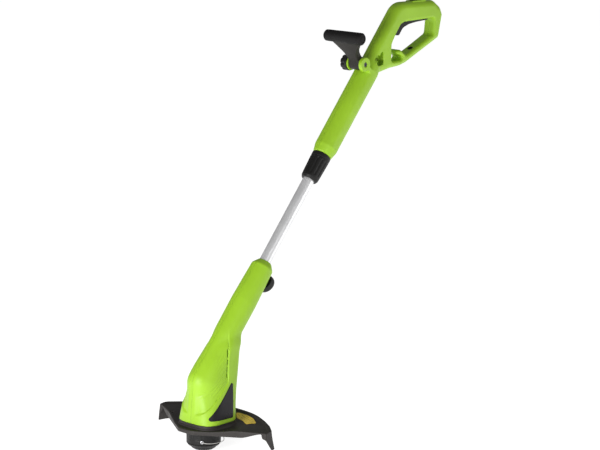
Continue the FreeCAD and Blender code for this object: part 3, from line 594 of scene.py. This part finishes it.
def vent_field(x, z):
    """Slots along the panel's edge, right through the casing."""
    best = np.full(np.shape(x), 50.0)
    for (ax, az), (bx, bz) in VENTS:
        ex, ez = bx - ax, bz - az
        t = np.clip(((x - ax) * ex + (z - az) * ez) / (ex * ex + ez * ez), 0, 1)
        best = np.minimum(best, np.hypot(x - ax - t * ex, z - az - t * ez) - VENT_HALF_WIDTH)
    return best


# X and Z of each casing screw, and how far its pillar reaches to each side
HEAD_SCREWS = [(48, 82, 42.0), (62, 150, 34.0), (79, 205, 20.0)]
HEAD_WALL = 3.2
BUTTON_STATION = 230.5
BUTTON_RADIUS = 19.3


def head_case(x, y, z):
    """The whole casing: skin, hollow, vents, button recess, tube's way, pillars and screw holes."""
    base = head_skin(x, y, z)
    s, q = shaft(x, z)
    rho = np.hypot(q, y)
    panels = panel_depth(x, y, z)
    skin = base + panels
    skin = meet(skin, 60.2 - z, 1.2)
    room = np.maximum(base + HEAD_WALL + panels, s - 243)
    skin = np.maximum(skin, -room)
    skin = carve(skin, vent_field(x, z), 0.3)
    skin = carve(skin, np.maximum(np.hypot(s - BUTTON_STATION, y) - BUTTON_RADIUS - 0.7, 15 - q), 0.8)
    skin = carve(skin, np.maximum(rho - 12.5, 200 - s), 0.6)
    for sx, sz, reach in HEAD_SCREWS:
        bore = np.hypot(x - sx, z - sz)
        pillar = np.maximum(bore - 5.2, np.abs(y) - reach)
        skin = np.minimum(skin, np.maximum(pillar, base + 0.5))
        skin = carve(skin, np.maximum(bore - 4.0, reach - 2.2 - y), 0.5)
        skin = np.maximum(skin, -np.maximum(bore - 1.9, 6 - reach - y))
    return skin


PARTING_GAP = 0.05
PARTING_EDGE = 0.25


def near_side(field):
    """The half of a casing on the -Y side of the parting line, with its small rounded edge."""
    return lambda x, y, z: meet(field(x, y, z), y + PARTING_GAP, PARTING_EDGE)


def far_side(field):
    """The half of a casing on the +Y side of the parting line."""
    return lambda x, y, z: meet(field(x, y, z), PARTING_GAP - y, PARTING_EDGE)


put(surface("head_cover_left", near_side(head_case), (-42, -56, 57), (196, 3, 358), 1.1),
    lime, "motor_head", "lime_plastic", "motor_shell_left")
put(surface("head_cover_right", far_side(head_case), (-42, -3, 57), (196, 56, 358), 1.1),
    lime, "motor_head", "lime_plastic", "motor_shell_right")


def badge_field(side):
    """A blank badge that follows the casing's skin, on the side of the sign given."""
    def field(x, y, z):
        base = head_skin(x, y, z)
        plate = meet(base - 0.9, badge_edge(x, z), 0.7)
        plate = np.maximum(plate, -(base + 0.6))
        return np.maximum(plate, 20 - side * y)
    return field


put(surface("badge_left", badge_field(-1), (-34, -56, 62), (46, -20, 146), 0.8),
    glossy, "motor_head", "black_gloss", "side_badge_left")
put(surface("badge_right", badge_field(1), (-34, 20, 62), (46, 56, 146), 0.8),
    glossy, "motor_head", "black_gloss", "side_badge_right")


# ---------------------------------------------------------------- swivel button
def button_field(x, y, z):
    """A round button with a crowned, grooved top. Its base is higher where it passes over the bush."""
    s, q = shaft(x, z)
    round_wall = np.hypot(s - BUTTON_STATION, y) - BUTTON_RADIUS
    fall = 0.006 * np.minimum(s - 238, 0) ** 2 + 0.010 * np.maximum(s - 240, 0) ** 2
    crown = q - 41.8 + fall + 0.006 * y * y
    grips = 0.5 * np.cos((s - 233) * 2 * pi / 4.0) * smooth_step(q, 30, 34)
    shape = meet(round_wall, crown * 0.9 + 0.35 * grips, 7.0)
    base = np.where(s < 216, 26.8, 22.7)
    return np.maximum(shape, base - q)


put(surface("swivel_cap", button_field, (150, -21, 276), (208, 21, 346), 0.8),
    black, "swivel_button", "black_plastic", "swivel_button")


# ---------------------------------------------------------------- rear handle
# Outlines of the hand loop, its opening and the side window, in X and Z
handle_edge = outline([
    (403.5, 645.5, 6), (564.5, 831.5, 40), (679, 828, 24), (702, 812, 20), (710, 796, 3), (698, 746, 10),
    (590, 703, 20), (571, 699.5, 20), (539, 697.5, 30), (500, 691.0, 8), (470, 664, 4), (430, 624, 4)])
opening_edge = outline([
    (679.5, 791, 9), (675.5, 756, 8), (597, 724, 5), (587, 721.5, 4), (577, 728, 6), (568, 734, 6),
    (557.5, 734, 4), (554.5, 729, 2.5), (558, 725.5, 2.5), (566, 724, 4), (575, 718, 3), (570, 712, 5),
    (539, 712, 5), (539, 748, 12), (550, 765, 10), (567, 786, 8), (580, 791, 8)])
window_edge = outline([(508, 737.5, 1.6), (508.8, 711.0, 1.6), (486.5, 711.2, 1.6)])
HANDLE_SCREWS = [(572, 816), (691, 804), (687, 753), (630, 729.5), (524, 706)]      # X and Z
EAR_X, EAR_Z = on_shaft(722, -34.5)     # the auxiliary handle's bolt
BOLT_WAY = 3.05
LOOP_HALF = 17.0                        # half the loop's thickness
LOOP_SLIM = 1.8                         # how much of that it loses behind and below
SLEEVE_RADIUS = 23.9
SLEEVE_BORE = 19.5
TUBE_WAY = 12.1
GLAND_FOOT = np.array((615.7, 0.0, 731.2))
GLAND_TILT = radians(-22.3)
GLAND_UP = np.array((sin(GLAND_TILT), 0.0, cos(GLAND_TILT)))


def loop_field(x, y, z):
    """The hand loop, less its opening."""
    slim = np.maximum(smooth_step(x, 655, 690), smooth_step(790 - z, 20, 60) * smooth_step(x, 560, 600))
    thick = LOOP_HALF - LOOP_SLIM * slim
    loop = meet(handle_edge(x, z), np.abs(y) - thick, 14.0)
    return carve(loop, opening_edge(x, z), 6.5)


def ear_field(x, y, z):
    """The two ears that carry the bolt. The one on the knob's side is thinner."""
    s, q = shaft(x, z)
    side = np.abs(y)
    disc = np.hypot(x - EAR_X, z - EAR_Z) - 14.8
    web = np.maximum(np.abs(s - 722) - 5.0, np.abs(q + 18) - 14)
    outer_face = np.where(y > 0, 18.5, 22.0)
    inner_face = np.where(y > 0, 15.3, 14.0)
    return meet(np.minimum(disc, web), np.maximum(inner_face - side, side - outer_face), 1.4)


def handle_outside(x, y, z):
    """Loop, sleeve, nose, ears, window pockets and the lock-off button's bezel."""
    s, q = shaft(x, z)
    rho = np.hypot(q, y)
    side = np.abs(y)
    size = np.interp(s, (519, 537, 728, 770), (19.8, SLEEVE_RADIUS, SLEEVE_RADIUS, 16.5))
    sleeve = meet((rho - size) * 0.98, np.abs(s - 644.6) - 125.4, 2.5)
    nose = meet(rho - 15.6, np.abs(s - 516) - 11, 0.8)
    shape = join(loop_field(x, y, z), sleeve, 2.0)
    shape = np.minimum(shape, nose)
    disc = np.hypot(x - EAR_X, z - EAR_Z)
    shape = carve(shape, np.maximum(disc - 13.3, side - 14), 0.6)
    shape = join(shape, ear_field(x, y, z), 1.5)
    shape = carve(shape, np.maximum(disc - 5.2, y + 18.2), 0.5)
    shape = np.maximum(shape, -(disc - BOLT_WAY))
    pocket = meet(window_edge(x, z) - 1.8, 3 - side, 0.6)
    shape = carve(shape, pocket, 0.6)
    return join(shape, brick(x, y, z, (610, -10, 822), (654, 10, 831.4), 1.6), 0.8)


def handle_case(x, y, z):
    """The whole casing, less the ways of the button, trigger, tube, gland and screws."""
    s, q = shaft(x, z)
    rho = np.hypot(q, y)
    shape = handle_outside(x, y, z)
    shape = carve(shape, brick(x, y, z, (614.4, -6.5, 812), (649.6, 6.5, 845), 1.0), 0.5)
    shape = carve(shape, brick(x, y, z, (582, -11.5, 793.6), (680, 11.5, 822.3), 1.0), 0.2)
    shape = carve(shape, brick(x, y, z, (553.5, -7.7, 762), (669, 7.7, 806), 0.5), 0.9)
    shape = np.maximum(shape, -brick(x, y, z, (565, -7.7, 790), (600, 7.7, 812.5), 0.5))
    shape = np.maximum(shape, -np.maximum(rho - SLEEVE_BORE, np.abs(s - 662) - 102))
    shape = carve(shape, np.maximum(rho - TUBE_WAY, s - 600), 0.6)
    along = (x - GLAND_FOOT[0]) * GLAND_UP[0] + (z - GLAND_FOOT[2]) * GLAND_UP[2]
    aside = np.hypot((x - GLAND_FOOT[0]) * GLAND_UP[2] - (z - GLAND_FOOT[2]) * GLAND_UP[0], y)
    shape = np.maximum(shape, -np.maximum(aside - 5.7, np.abs(along + 3) - 6))
    for sx, sz in HANDLE_SCREWS:
        bore = np.hypot(x - sx, z - sz)
        shape = carve(shape, np.maximum(bore - 3.8, 12.4 - y), 0.5)
        shape = np.maximum(shape, -np.maximum(bore - 1.9, -9 - y))
    return shape


put(surface("handle_cover_left", near_side(handle_case), (326, -26, 528), (714, 3, 838), 1.2),
    lime, "handle", "lime_plastic", "handle_shell_left")
put(surface("handle_cover_right", far_side(handle_case), (326, -3, 528), (714, 26, 838), 1.2),
    lime, "handle", "lime_plastic", "handle_shell_right")

gland = lathe("gland_sleeve", [
    (3.6, -8, 0.4), (5.5, -8, 0.4), (5.5, 0.6, 0.5), (4.6, 0.9, 0.4), (3.6, 0.4, 0.3)],
    tuple(GLAND_FOOT), tuple(GLAND_UP), 48)
put(gland, rubber, "handle", "soft_rubber", "cord_gland")


# ---------------------------------------------------------------- trigger and lock button
trigger_edge = outline([
    (666, 787.0, 3), (628, 785.6, 60), (604, 783.2, 40), (584, 777, 20), (572, 762.5, 4),
    (557, 764.5, 3), (561, 780, 12), (572, 801, 8), (664, 801, 4)])


def trigger_field(x, y, z):
    """The trigger's blade, ribbed where the fingers pull it."""
    ribs = 0.35 * np.cos(x * 2 * pi / 5.0) * smooth_step(x, 580, 590) * (1 - smooth_step(x, 640, 650))
    blade = meet(trigger_edge(x, z) + np.maximum(ribs, 0) * (z < 794), np.abs(y) - 7.0, 2.4)
    return np.maximum(blade, -(np.hypot(x - 657, z - 796) - 2.1))


def lock_field(x, y, z):
    """The lock-off button: a ridged cap on a wider foot."""
    cap = brick(x, y, z, (616, -5.8, 819.5), (648, 5.8, 832.8), 1.6)
    ridges = 0.5 * np.cos((x - 632) * 2 * pi / 4.0) * smooth_step(z, 830.5, 832.3)
    ridges = ridges * (np.abs(x - 632) < 12)
    foot = brick(x, y, z, (612, -9, 819.2), (652, 9, 822.1), 0.5)
    return np.minimum(cap + np.maximum(ridges, 0), foot)


put(surface("trigger_blade", trigger_field, (553, -10, 759), (669, 10, 805), 0.8),
    black, "trigger", "black_plastic", "trigger")
put(surface("lock_cap", lock_field, (608, -12, 815), (656, 12, 838), 0.7),
    black, "lock_button", "black_plastic", "lock_off_button")


# ---------------------------------------------------------------- auxiliary handle
STEM_LEAN = radians(36.3)
STEM_UP = (-sin(STEM_LEAN), cos(STEM_LEAN))
STEM_BACK = (cos(STEM_LEAN), sin(STEM_LEAN))
STEM_HEIGHT = 72.6          # from the bolt to the grip's middle
CORE_RADIUS = 9.0
GRIP_GROOVES = 30           # where the middle of each set of grooves is
GRIP_X, GRIP_Z = EAR_X + STEM_HEIGHT * STEM_UP[0], EAR_Z + STEM_HEIGHT * STEM_UP[1]
fan_width = profile((0, 14, 26, 36, 46, 56, 64, 76),
                    (13.2, 12.6, 13.6, 18.0, 26.0, 35.0, 42.0, 44.0), 6.0)


def stem_frame(x, z):
    """Height up the stem from the bolt, and distance behind its middle."""
    dx, dz = x - EAR_X, z - EAR_Z
    return dx * STEM_UP[0] + dz * STEM_UP[1], dx * STEM_BACK[0] + dz * STEM_BACK[1]


def stem_field(x, y, z):
    """A hub on the bolt, a fan that widens to the grip and the grip's core."""
    height, back = stem_frame(x, z)
    side = np.abs(y)
    edge = (side - fan_width(height)) * 0.72
    thick = np.interp(height, (0, 20, 60, 80), (9.5, 8.0, 6.4, 6.2))
    slope = np.abs(back) - thick
    front = -back - thick + 0.10 * np.maximum(side - 4.0, 0)
    fan = meet(meet(edge, slope, 2.4), np.abs(height - 36) - 38, 1.0)
    fan = meet(fan, front, 1.6)
    hollow = meet(meet(edge + 5.0, 1.5 - back, 1.0), np.abs(height - 40) - 20, 2.0)
    fan = carve(fan, hollow, 1.0)
    hub = meet(np.hypot(height, back) - 12.6, side - 13.5, 1.0)
    core = np.maximum(np.hypot(height - STEM_HEIGHT, back) - CORE_RADIUS, side - 47)
    shape = np.minimum(join(fan, hub, 5.0), core)
    return np.maximum(shape, -(np.hypot(height, back) - 3.1))


def grip_radius(y):
    """The grip is a little thicker at its -Y end."""
    return 12.4 - 0.012 * y


def grip_field(x, y, z):
    """The rubber sleeve, with shallow grooves round it."""
    height, back = stem_frame(x, z)
    rho = np.hypot(height - STEM_HEIGHT, back)
    side = np.abs(y)
    groove = 0.45 * (0.5 + 0.5 * np.cos((side - GRIP_GROOVES) * 2 * pi / 4.0)) ** 3
    groove = groove * (np.abs(side - GRIP_GROOVES) < 13)
    sleeve = meet(rho - grip_radius(y) + groove, side - 43.6, 1.2)
    sleeve = np.maximum(sleeve, -(rho - CORE_RADIUS - 0.05))
    notch = np.maximum(np.maximum(np.abs(back) - 6.8, side - 41.5), height - STEM_HEIGHT)
    return np.maximum(sleeve, -notch)


put(surface("aux_stem", stem_field, (386, -53, 698), (468, 53, 800), 0.9),
    stem_plastic, "aux_handle", "black_plastic", "aux_handle_stem")
put(surface("aux_sleeve", grip_field, (386, -48, 758), (424, 48, 795), 0.9),
    rubber, "aux_handle", "soft_rubber", "aux_grip")
GRIP_CENTRE = (GRIP_X, 0.0, GRIP_Z)
caps = []
for side in (-1, 1):
    rim = grip_radius(side * 44)
    caps.append(lathe("aux_cap", [
        (0, 43.9, 0), (rim - 0.3, 43.9, 0.3), (rim - 0.2, 45.8, 0.8), (rim - 3.4, 49.2, 2.0),
        (rim - 4.8, 49.5, 0.6), (rim - 5.6, 48.4, 0.4), (rim - 7.0, 48.4, 0.4), (rim - 7.8, 49.4, 0.5),
        (0, 49.8, 0)], GRIP_CENTRE, (0, side, 0), 72))
put(merge("aux_end_caps", caps), rubber, "aux_handle", "soft_rubber", "aux_grip_caps")


def knob_field(x, y, z):
    """The clamp knob, with eight finger scallops."""
    dx, dz = x - EAR_X, z - EAR_Z
    rho = np.hypot(dx, dz)
    wave = 0.5 + 0.5 * np.cos(8 * np.arctan2(dz, dx))
    lobes = rho - 16.3 + 1.7 * wave ** 3 * smooth_step(y, 22.0, 24.0)
    disc = meet(lobes, np.abs(y - 26.6) - 7.7, 1.8)
    disc = carve(disc, np.maximum(rho - 9.5, 32.8 - y), 0.8)
    return np.maximum(disc, -(rho - 6.0))


put(surface("clamp_grip", knob_field, (EAR_X - 20, 17, EAR_Z - 20), (EAR_X + 20, 37, EAR_Z + 20), 0.7),
    black, "clamp_knob", "black_plastic", "clamp_knob")

bolt = lathe("pivot_bolt_cap", [
    (0, -26, 0.2), (3.0, -26, 0.3), (3.0, 18.2, 0.2), (4.9, 18.2, 0.2), (4.9, 20.2, 0.5),
    (3.4, 20.9, 0.4), (2.6, 20.7, 0.2), (2.4, 19.0, 0.2), (0.9, 19.0, 0.2), (0.7, 20.2, 0.3),
    (0, 20.2, 0)],
    (EAR_X, 0, EAR_Z), (0, -1, 0), 48)
put(bolt, dark_steel, "handle", "steel", "pivot_bolt")


# ---------------------------------------------------------------- tube and collar
TUBE_RADIUS, TUBE_BORE = 12.0, 10.8
TUBE_FOOT, TUBE_TOP = 150, 588      # stations
tube = lathe("aluminium_tube", [
    (TUBE_BORE, TUBE_FOOT, 0.2), (TUBE_RADIUS, TUBE_FOOT, 0.3), (TUBE_RADIUS, TUBE_TOP, 0.3),
    (TUBE_BORE, TUBE_TOP, 0.2)], (0, 0, SHAFT_HEIGHT), (SIN, 0, COS), 128)
put(tube, aluminium, "tube", "tube_aluminium", "shaft_tube")


def collar_field(x, y, z):
    """The twist collar: a tapered nose, twelve flutes and a groove behind them."""
    s, q = shaft(x, z)
    rho = np.hypot(q, y)
    size = np.interp(s, (459, 464, 470, 510, 518), (15.8, 18.2, 18.6, 20.0, 20.0))
    wave = (0.5 + 0.5 * np.cos(12 * np.arctan2(y, q))) ** 3
    flutes = 1.5 * wave * smooth_step(s, 468, 472) * (1 - smooth_step(s, 504, 508))
    band = 0.7 * np.exp(-((s - 509.5) / 0.8) ** 2)
    shape = meet(rho - size + flutes + band, np.abs(s - 488.8) - 29.8, 1.2)
    room = np.where(s > 472, 16.2, 12.6)
    return np.maximum(shape, -(rho - room))


put(surface("twist_collar", collar_field, (285, -21, 482), (362, 21, 556), 0.8),
    black, "locking_collar", "black_plastic", "locking_collar")


# ---------------------------------------------------------------- guard
guard_edge = outline([
    (-52, -18, 20), (-52, 18, 20), (0, 98, 40), (21, 137, 10), (23, 145.5, 2), (40, 141.5, 8),
    (62, 120, 90), (80, 94, 150), (96, 52, 150), (102, 0, 300), (95, -52, 150), (77, -94, 150),
    (61, -120, 60), (42, -142.5, 8), (23, -145.5, 2), (21, -137, 10), (0, -98, 40)])
GUARD_WALL = 2.8
GUARD_SCREWS = ((-18, 24), (-18, -24), (29, 0))     # X and Y


def guard_top(x, y):
    """Height of the guard's upper face: dished round the casing, with a raised rear rim."""
    reach = np.hypot(x - 12, y)
    dish = 5.6 * (1 - smooth_step(reach, 56, 92))
    edge = guard_edge(x, y)
    rim = 1.6 * smooth_step(edge, -8.5, -6.5) * smooth_step(x, 22, 34)
    return 57.6 - dish + rim + 1.6 * smooth_step(x, 70, 98)


def guard_low(y):
    """Height of the front lip's lower edge."""
    return 44 + 10.5 * smooth_step(np.abs(y), 96, 138)


def guard_shell(x, y, z):
    """The shield: a dished plate, a flared skirt round it and a short lip in front."""
    flare = 5.5 * np.clip((57 - z) / 34, 0, 1.2) ** 1.4 * smooth_step(x, -6, 18)
    wall = guard_edge(x, y) - flare - 0.6
    top = guard_top(x, y)
    outer = meet(wall, (z - top) * 0.96, 2.2)
    inner = meet(wall + GUARD_WALL, (z - top + GUARD_WALL) * 0.96, 2.4)
    shell = carve(outer, inner, 0.9)
    ends = 21 + np.where(y < 0, 0.60, 0.12) * np.maximum(46 - z, 0)
    keep = np.minimum(guard_low(y) - z, ends - x)
    shell = meet(shell, keep * 0.8, 0.8)
    foot = 26.0 - 4.5 * smooth_step(np.abs(y), 70, 130)
    return meet(shell, foot - z, 0.8)


def guard_field(x, y, z):
    """The shield, with the collar round the casing's foot, a boss, a groove and the holes."""
    plan = head_plan(x, y, 60.0 + 0 * z) + 0.3
    collar = meet(plan, np.abs(z - 54.6) - 5.5, 1.2)
    step = meet(plan - 2.2, np.abs(z - 51.6) - 3.0, 1.2)
    shape = join(guard_shell(x, y, z), np.minimum(collar, step), 1.4)
    shape = join(shape, rod(x, y, z, (76, -3, 50), (76, -3, 58.8), 6.5, 1.6), 1.5)
    shape = carve(shape, brick(x, y, z, (-3, 72, 55.6), (2.5, 92, 70), 0.8), 0.5)
    rho = np.hypot(x, y)
    shape = np.maximum(shape, -(rho - 14))
    shape = carve(shape, np.maximum(rho - 36, z - 51.5), 1.0)
    for sx, sy in GUARD_SCREWS:
        bore = np.hypot(x - sx, y - sy)
        shape = np.maximum(shape, -np.maximum(bore - 4.4, z - 54.9))
        shape = np.maximum(shape, -(bore - 2.1))
    return shape


put(surface("guard_shield", guard_field, (-60, -156, 18), (112, 156, 64), 1.0),
    guard_plastic, "motor_head", "black_plastic", "guard")

label_edge = outline([
    (86.5, -4.5, 2), (88.5, -13.5, 2), (85, -40, 60), (77.5, -61, 60), (59.5, -85.5, 3),
    (44.5, -72.5, 3), (61, -49, 60), (71, -21.5, 3)], margin=20)


def label_field(x, y, z):
    """A film that follows the guard's upper face."""
    return meet(label_edge(x, y), np.abs(z - guard_top(x, y)) - 0.45, 0.2)


put(surface("caution_label", label_field, (40, -90, 52), (93, -1, 61), 0.7),
    caution, "motor_head", "caution_yellow", "caution_panel")


# ---------------------------------------------------------------- spool
SPOOL_RADIUS = 33.9
EYE_TURN = radians(219)             # where the line leaves the spool, round Z
EYE_OUT = (cos(EYE_TURN), sin(EYE_TURN), 0)
EYE_HEIGHT = 24.0


def spool_field(x, y, z):
    """The spool's cup, with shallow flutes, a groove round it and the eyelet's boss."""
    rho = np.hypot(x, y)
    wave = (0.5 + 0.5 * np.cos(18 * np.arctan2(y, x))) ** 4
    flutes = 0.55 * wave * smooth_step(z, 27.5, 28.5) * (1 - smooth_step(z, 36, 37))
    wall = rho - SPOOL_RADIUS + flutes
    wall = wall + 0.5 * np.exp(-((z - 26.6) / 0.5) ** 2)
    cup = meet(wall, np.abs(z - 28.6) - 11.4, 1.2)
    room = np.maximum(rho - 31.4, z - 37.5)
    hub = np.maximum(rho - 7.5, 30 - z)
    cup = np.maximum(cup, -np.maximum(room, -hub))
    cup = np.maximum(cup, -(rho - 4.05))
    out = x * EYE_OUT[0] + y * EYE_OUT[1]
    side = np.hypot(-x * EYE_OUT[1] + y * EYE_OUT[0], z - EYE_HEIGHT)
    cup = join(cup, np.maximum(np.maximum(side - 4.6, out - 34.0), 31.6 - out), 0.8)
    return np.maximum(cup, -np.maximum(side - 2.45, 20 - out))


put(surface("spool_case", spool_field, (-36, -36, 16), (36, 36, 41), 0.7),
    black, "rotor", "black_plastic", "spool_housing")


def lid_field(x, y, z):
    """The spool's lid: a fluted, tapered rim and the collar that snaps into the cup."""
    rho = np.hypot(x, y)
    size = np.interp(z, (11, 15.5, 17.0), (30.4, SPOOL_RADIUS, SPOOL_RADIUS))
    wave = (0.5 + 0.5 * np.cos(36 * np.arctan2(y, x))) ** 2
    flutes = 0.35 * wave * (1 - smooth_step(z, 15.5, 16.2))
    rim = meet((rho - size) * 0.85 + flutes, np.abs(z - 14.0) - 3.0, 0.7)
    collar = np.maximum(rho - 31.3, np.abs(z - 18.0) - 2.0)
    shape = np.minimum(rim, collar)
    room = rho - np.where(z > 13, 30.2, 27.7)
    return np.maximum(shape, -room)


put(surface("spool_lid", lid_field, (-36, -36, 9), (36, 36, 22), 0.7),
    black, "rotor", "black_plastic", "spool_cover")

knob = lathe("bump_knob", [
    (0, 0, 0), (9.6, 0, 2.0), (19, 2.4, 12.0), (25, 6.5, 6.0), (27, 11, 1.0), (27, 13.2, 0.3),
    (29.6, 13.2, 0.3), (29.6, 15, 0.3), (14, 15, 0.3), (14, 29.5, 0.3), (29.6, 29.5, 0.3),
    (29.6, 31.5, 0.3), (10.6, 31.5, 0.3), (10.6, 20, 0.3), (5, 20, 0.3), (5, 15, 0.3), (0, 15, 0)])
put(knob, black, "spool", "black_plastic", "bump_spool")

eyelet = lathe("eyelet_ring", [
    (1.1, -3.0, 0.2), (2.4, -3.0, 0.2), (2.4, 0.2, 0.1), (3.5, 0.2, 0.3), (3.4, 1.3, 0.5),
    (1.9, 1.7, 0.4), (1.1, 0.8, 0.4)],
    (34 * EYE_OUT[0], 34 * EYE_OUT[1], EYE_HEIGHT), EYE_OUT, 48)
put(eyelet, steel, "rotor", "steel", "line_eyelet")
put(line_piece, nylon, "rotor", "nylon_line", "cutting_line")


# ---------------------------------------------------------------- the CAD nodes that stay
slots = {part["node"]: part["material_slot"] for part in frame["record"]["subparts"]}
for name, node in frame["nodes"].items():
    node.data.materials.clear()
    node.data.materials.append(SLOT_FINISH[slots[name]])


# ---------------------------------------------------------------- floor and light
FLOOR_HALF = 40
FLOOR_Z = -0.0005       # just under the bump knob


def make_floor():
    """A pale floor, bright enough to read as a studio sweep."""
    mesh = bpy.data.meshes.new("floor")
    corners = [(FLOOR_HALF * i, FLOOR_HALF * j, FLOOR_Z) for i, j in ((-1, -1), (1, -1), (1, 1), (-1, 1))]
    mesh.from_pydata(corners, [], [(0, 1, 2, 3)])
    floor = bpy.data.objects.new("floor", mesh)
    bpy.context.scene.collection.objects.link(floor)
    material, nodes, links, shader, place = new_nodes("floor_white")
    shader.inputs["Roughness"].default_value = 0.9
    shader.inputs["Specular IOR Level"].default_value = 0.1
    shade = noise(nodes, links, place, 0.6, 2.0)
    links.new(blend_colour(nodes, links, shade, (0.86, 0.86, 0.86), (0.88, 0.88, 0.88)),
              shader.inputs["Base Color"])
    shader.inputs["Emission Color"].default_value = (1, 1, 1, 1)
    shader.inputs["Emission Strength"].default_value = 0.85
    mesh.materials.append(material)


def area_light(name, place, aim, size, power):
    """A white softbox that faces a point."""
    data = bpy.data.lights.new(name, "AREA")
    data.shape = "RECTANGLE"
    data.size, data.size_y = size
    data.energy = power
    lamp = bpy.data.objects.new(name, data)
    lamp.location = place
    lamp.rotation_euler = (Vector(aim) - Vector(place)).to_track_quat("-Z", "Y").to_euler()
    bpy.context.scene.collection.objects.link(lamp)


make_floor()
area_light("front_softbox", (-1.6, -3.6, 1.5), (0.3, 0, 0.4), (2.2, 2.2), 32)
area_light("low_left_softbox", (-1.4, -0.15, 0.4), (0.05, 0, 0.3), (0.7, 0.7), 19)
area_light("right_softbox", (1.8, -2.2, 0.8), (0.5, 0, 0.7), (1.0, 1.6), 9)
world = bpy.data.worlds.new("studio")
world.use_nodes = True
background = world.node_tree.nodes["Background"]
background.inputs["Color"].default_value = (1, 1, 1, 1)
background.inputs["Strength"].default_value = 0.20
bpy.context.scene.world = world
bpy.context.scene.view_settings.view_transform = "Standard"
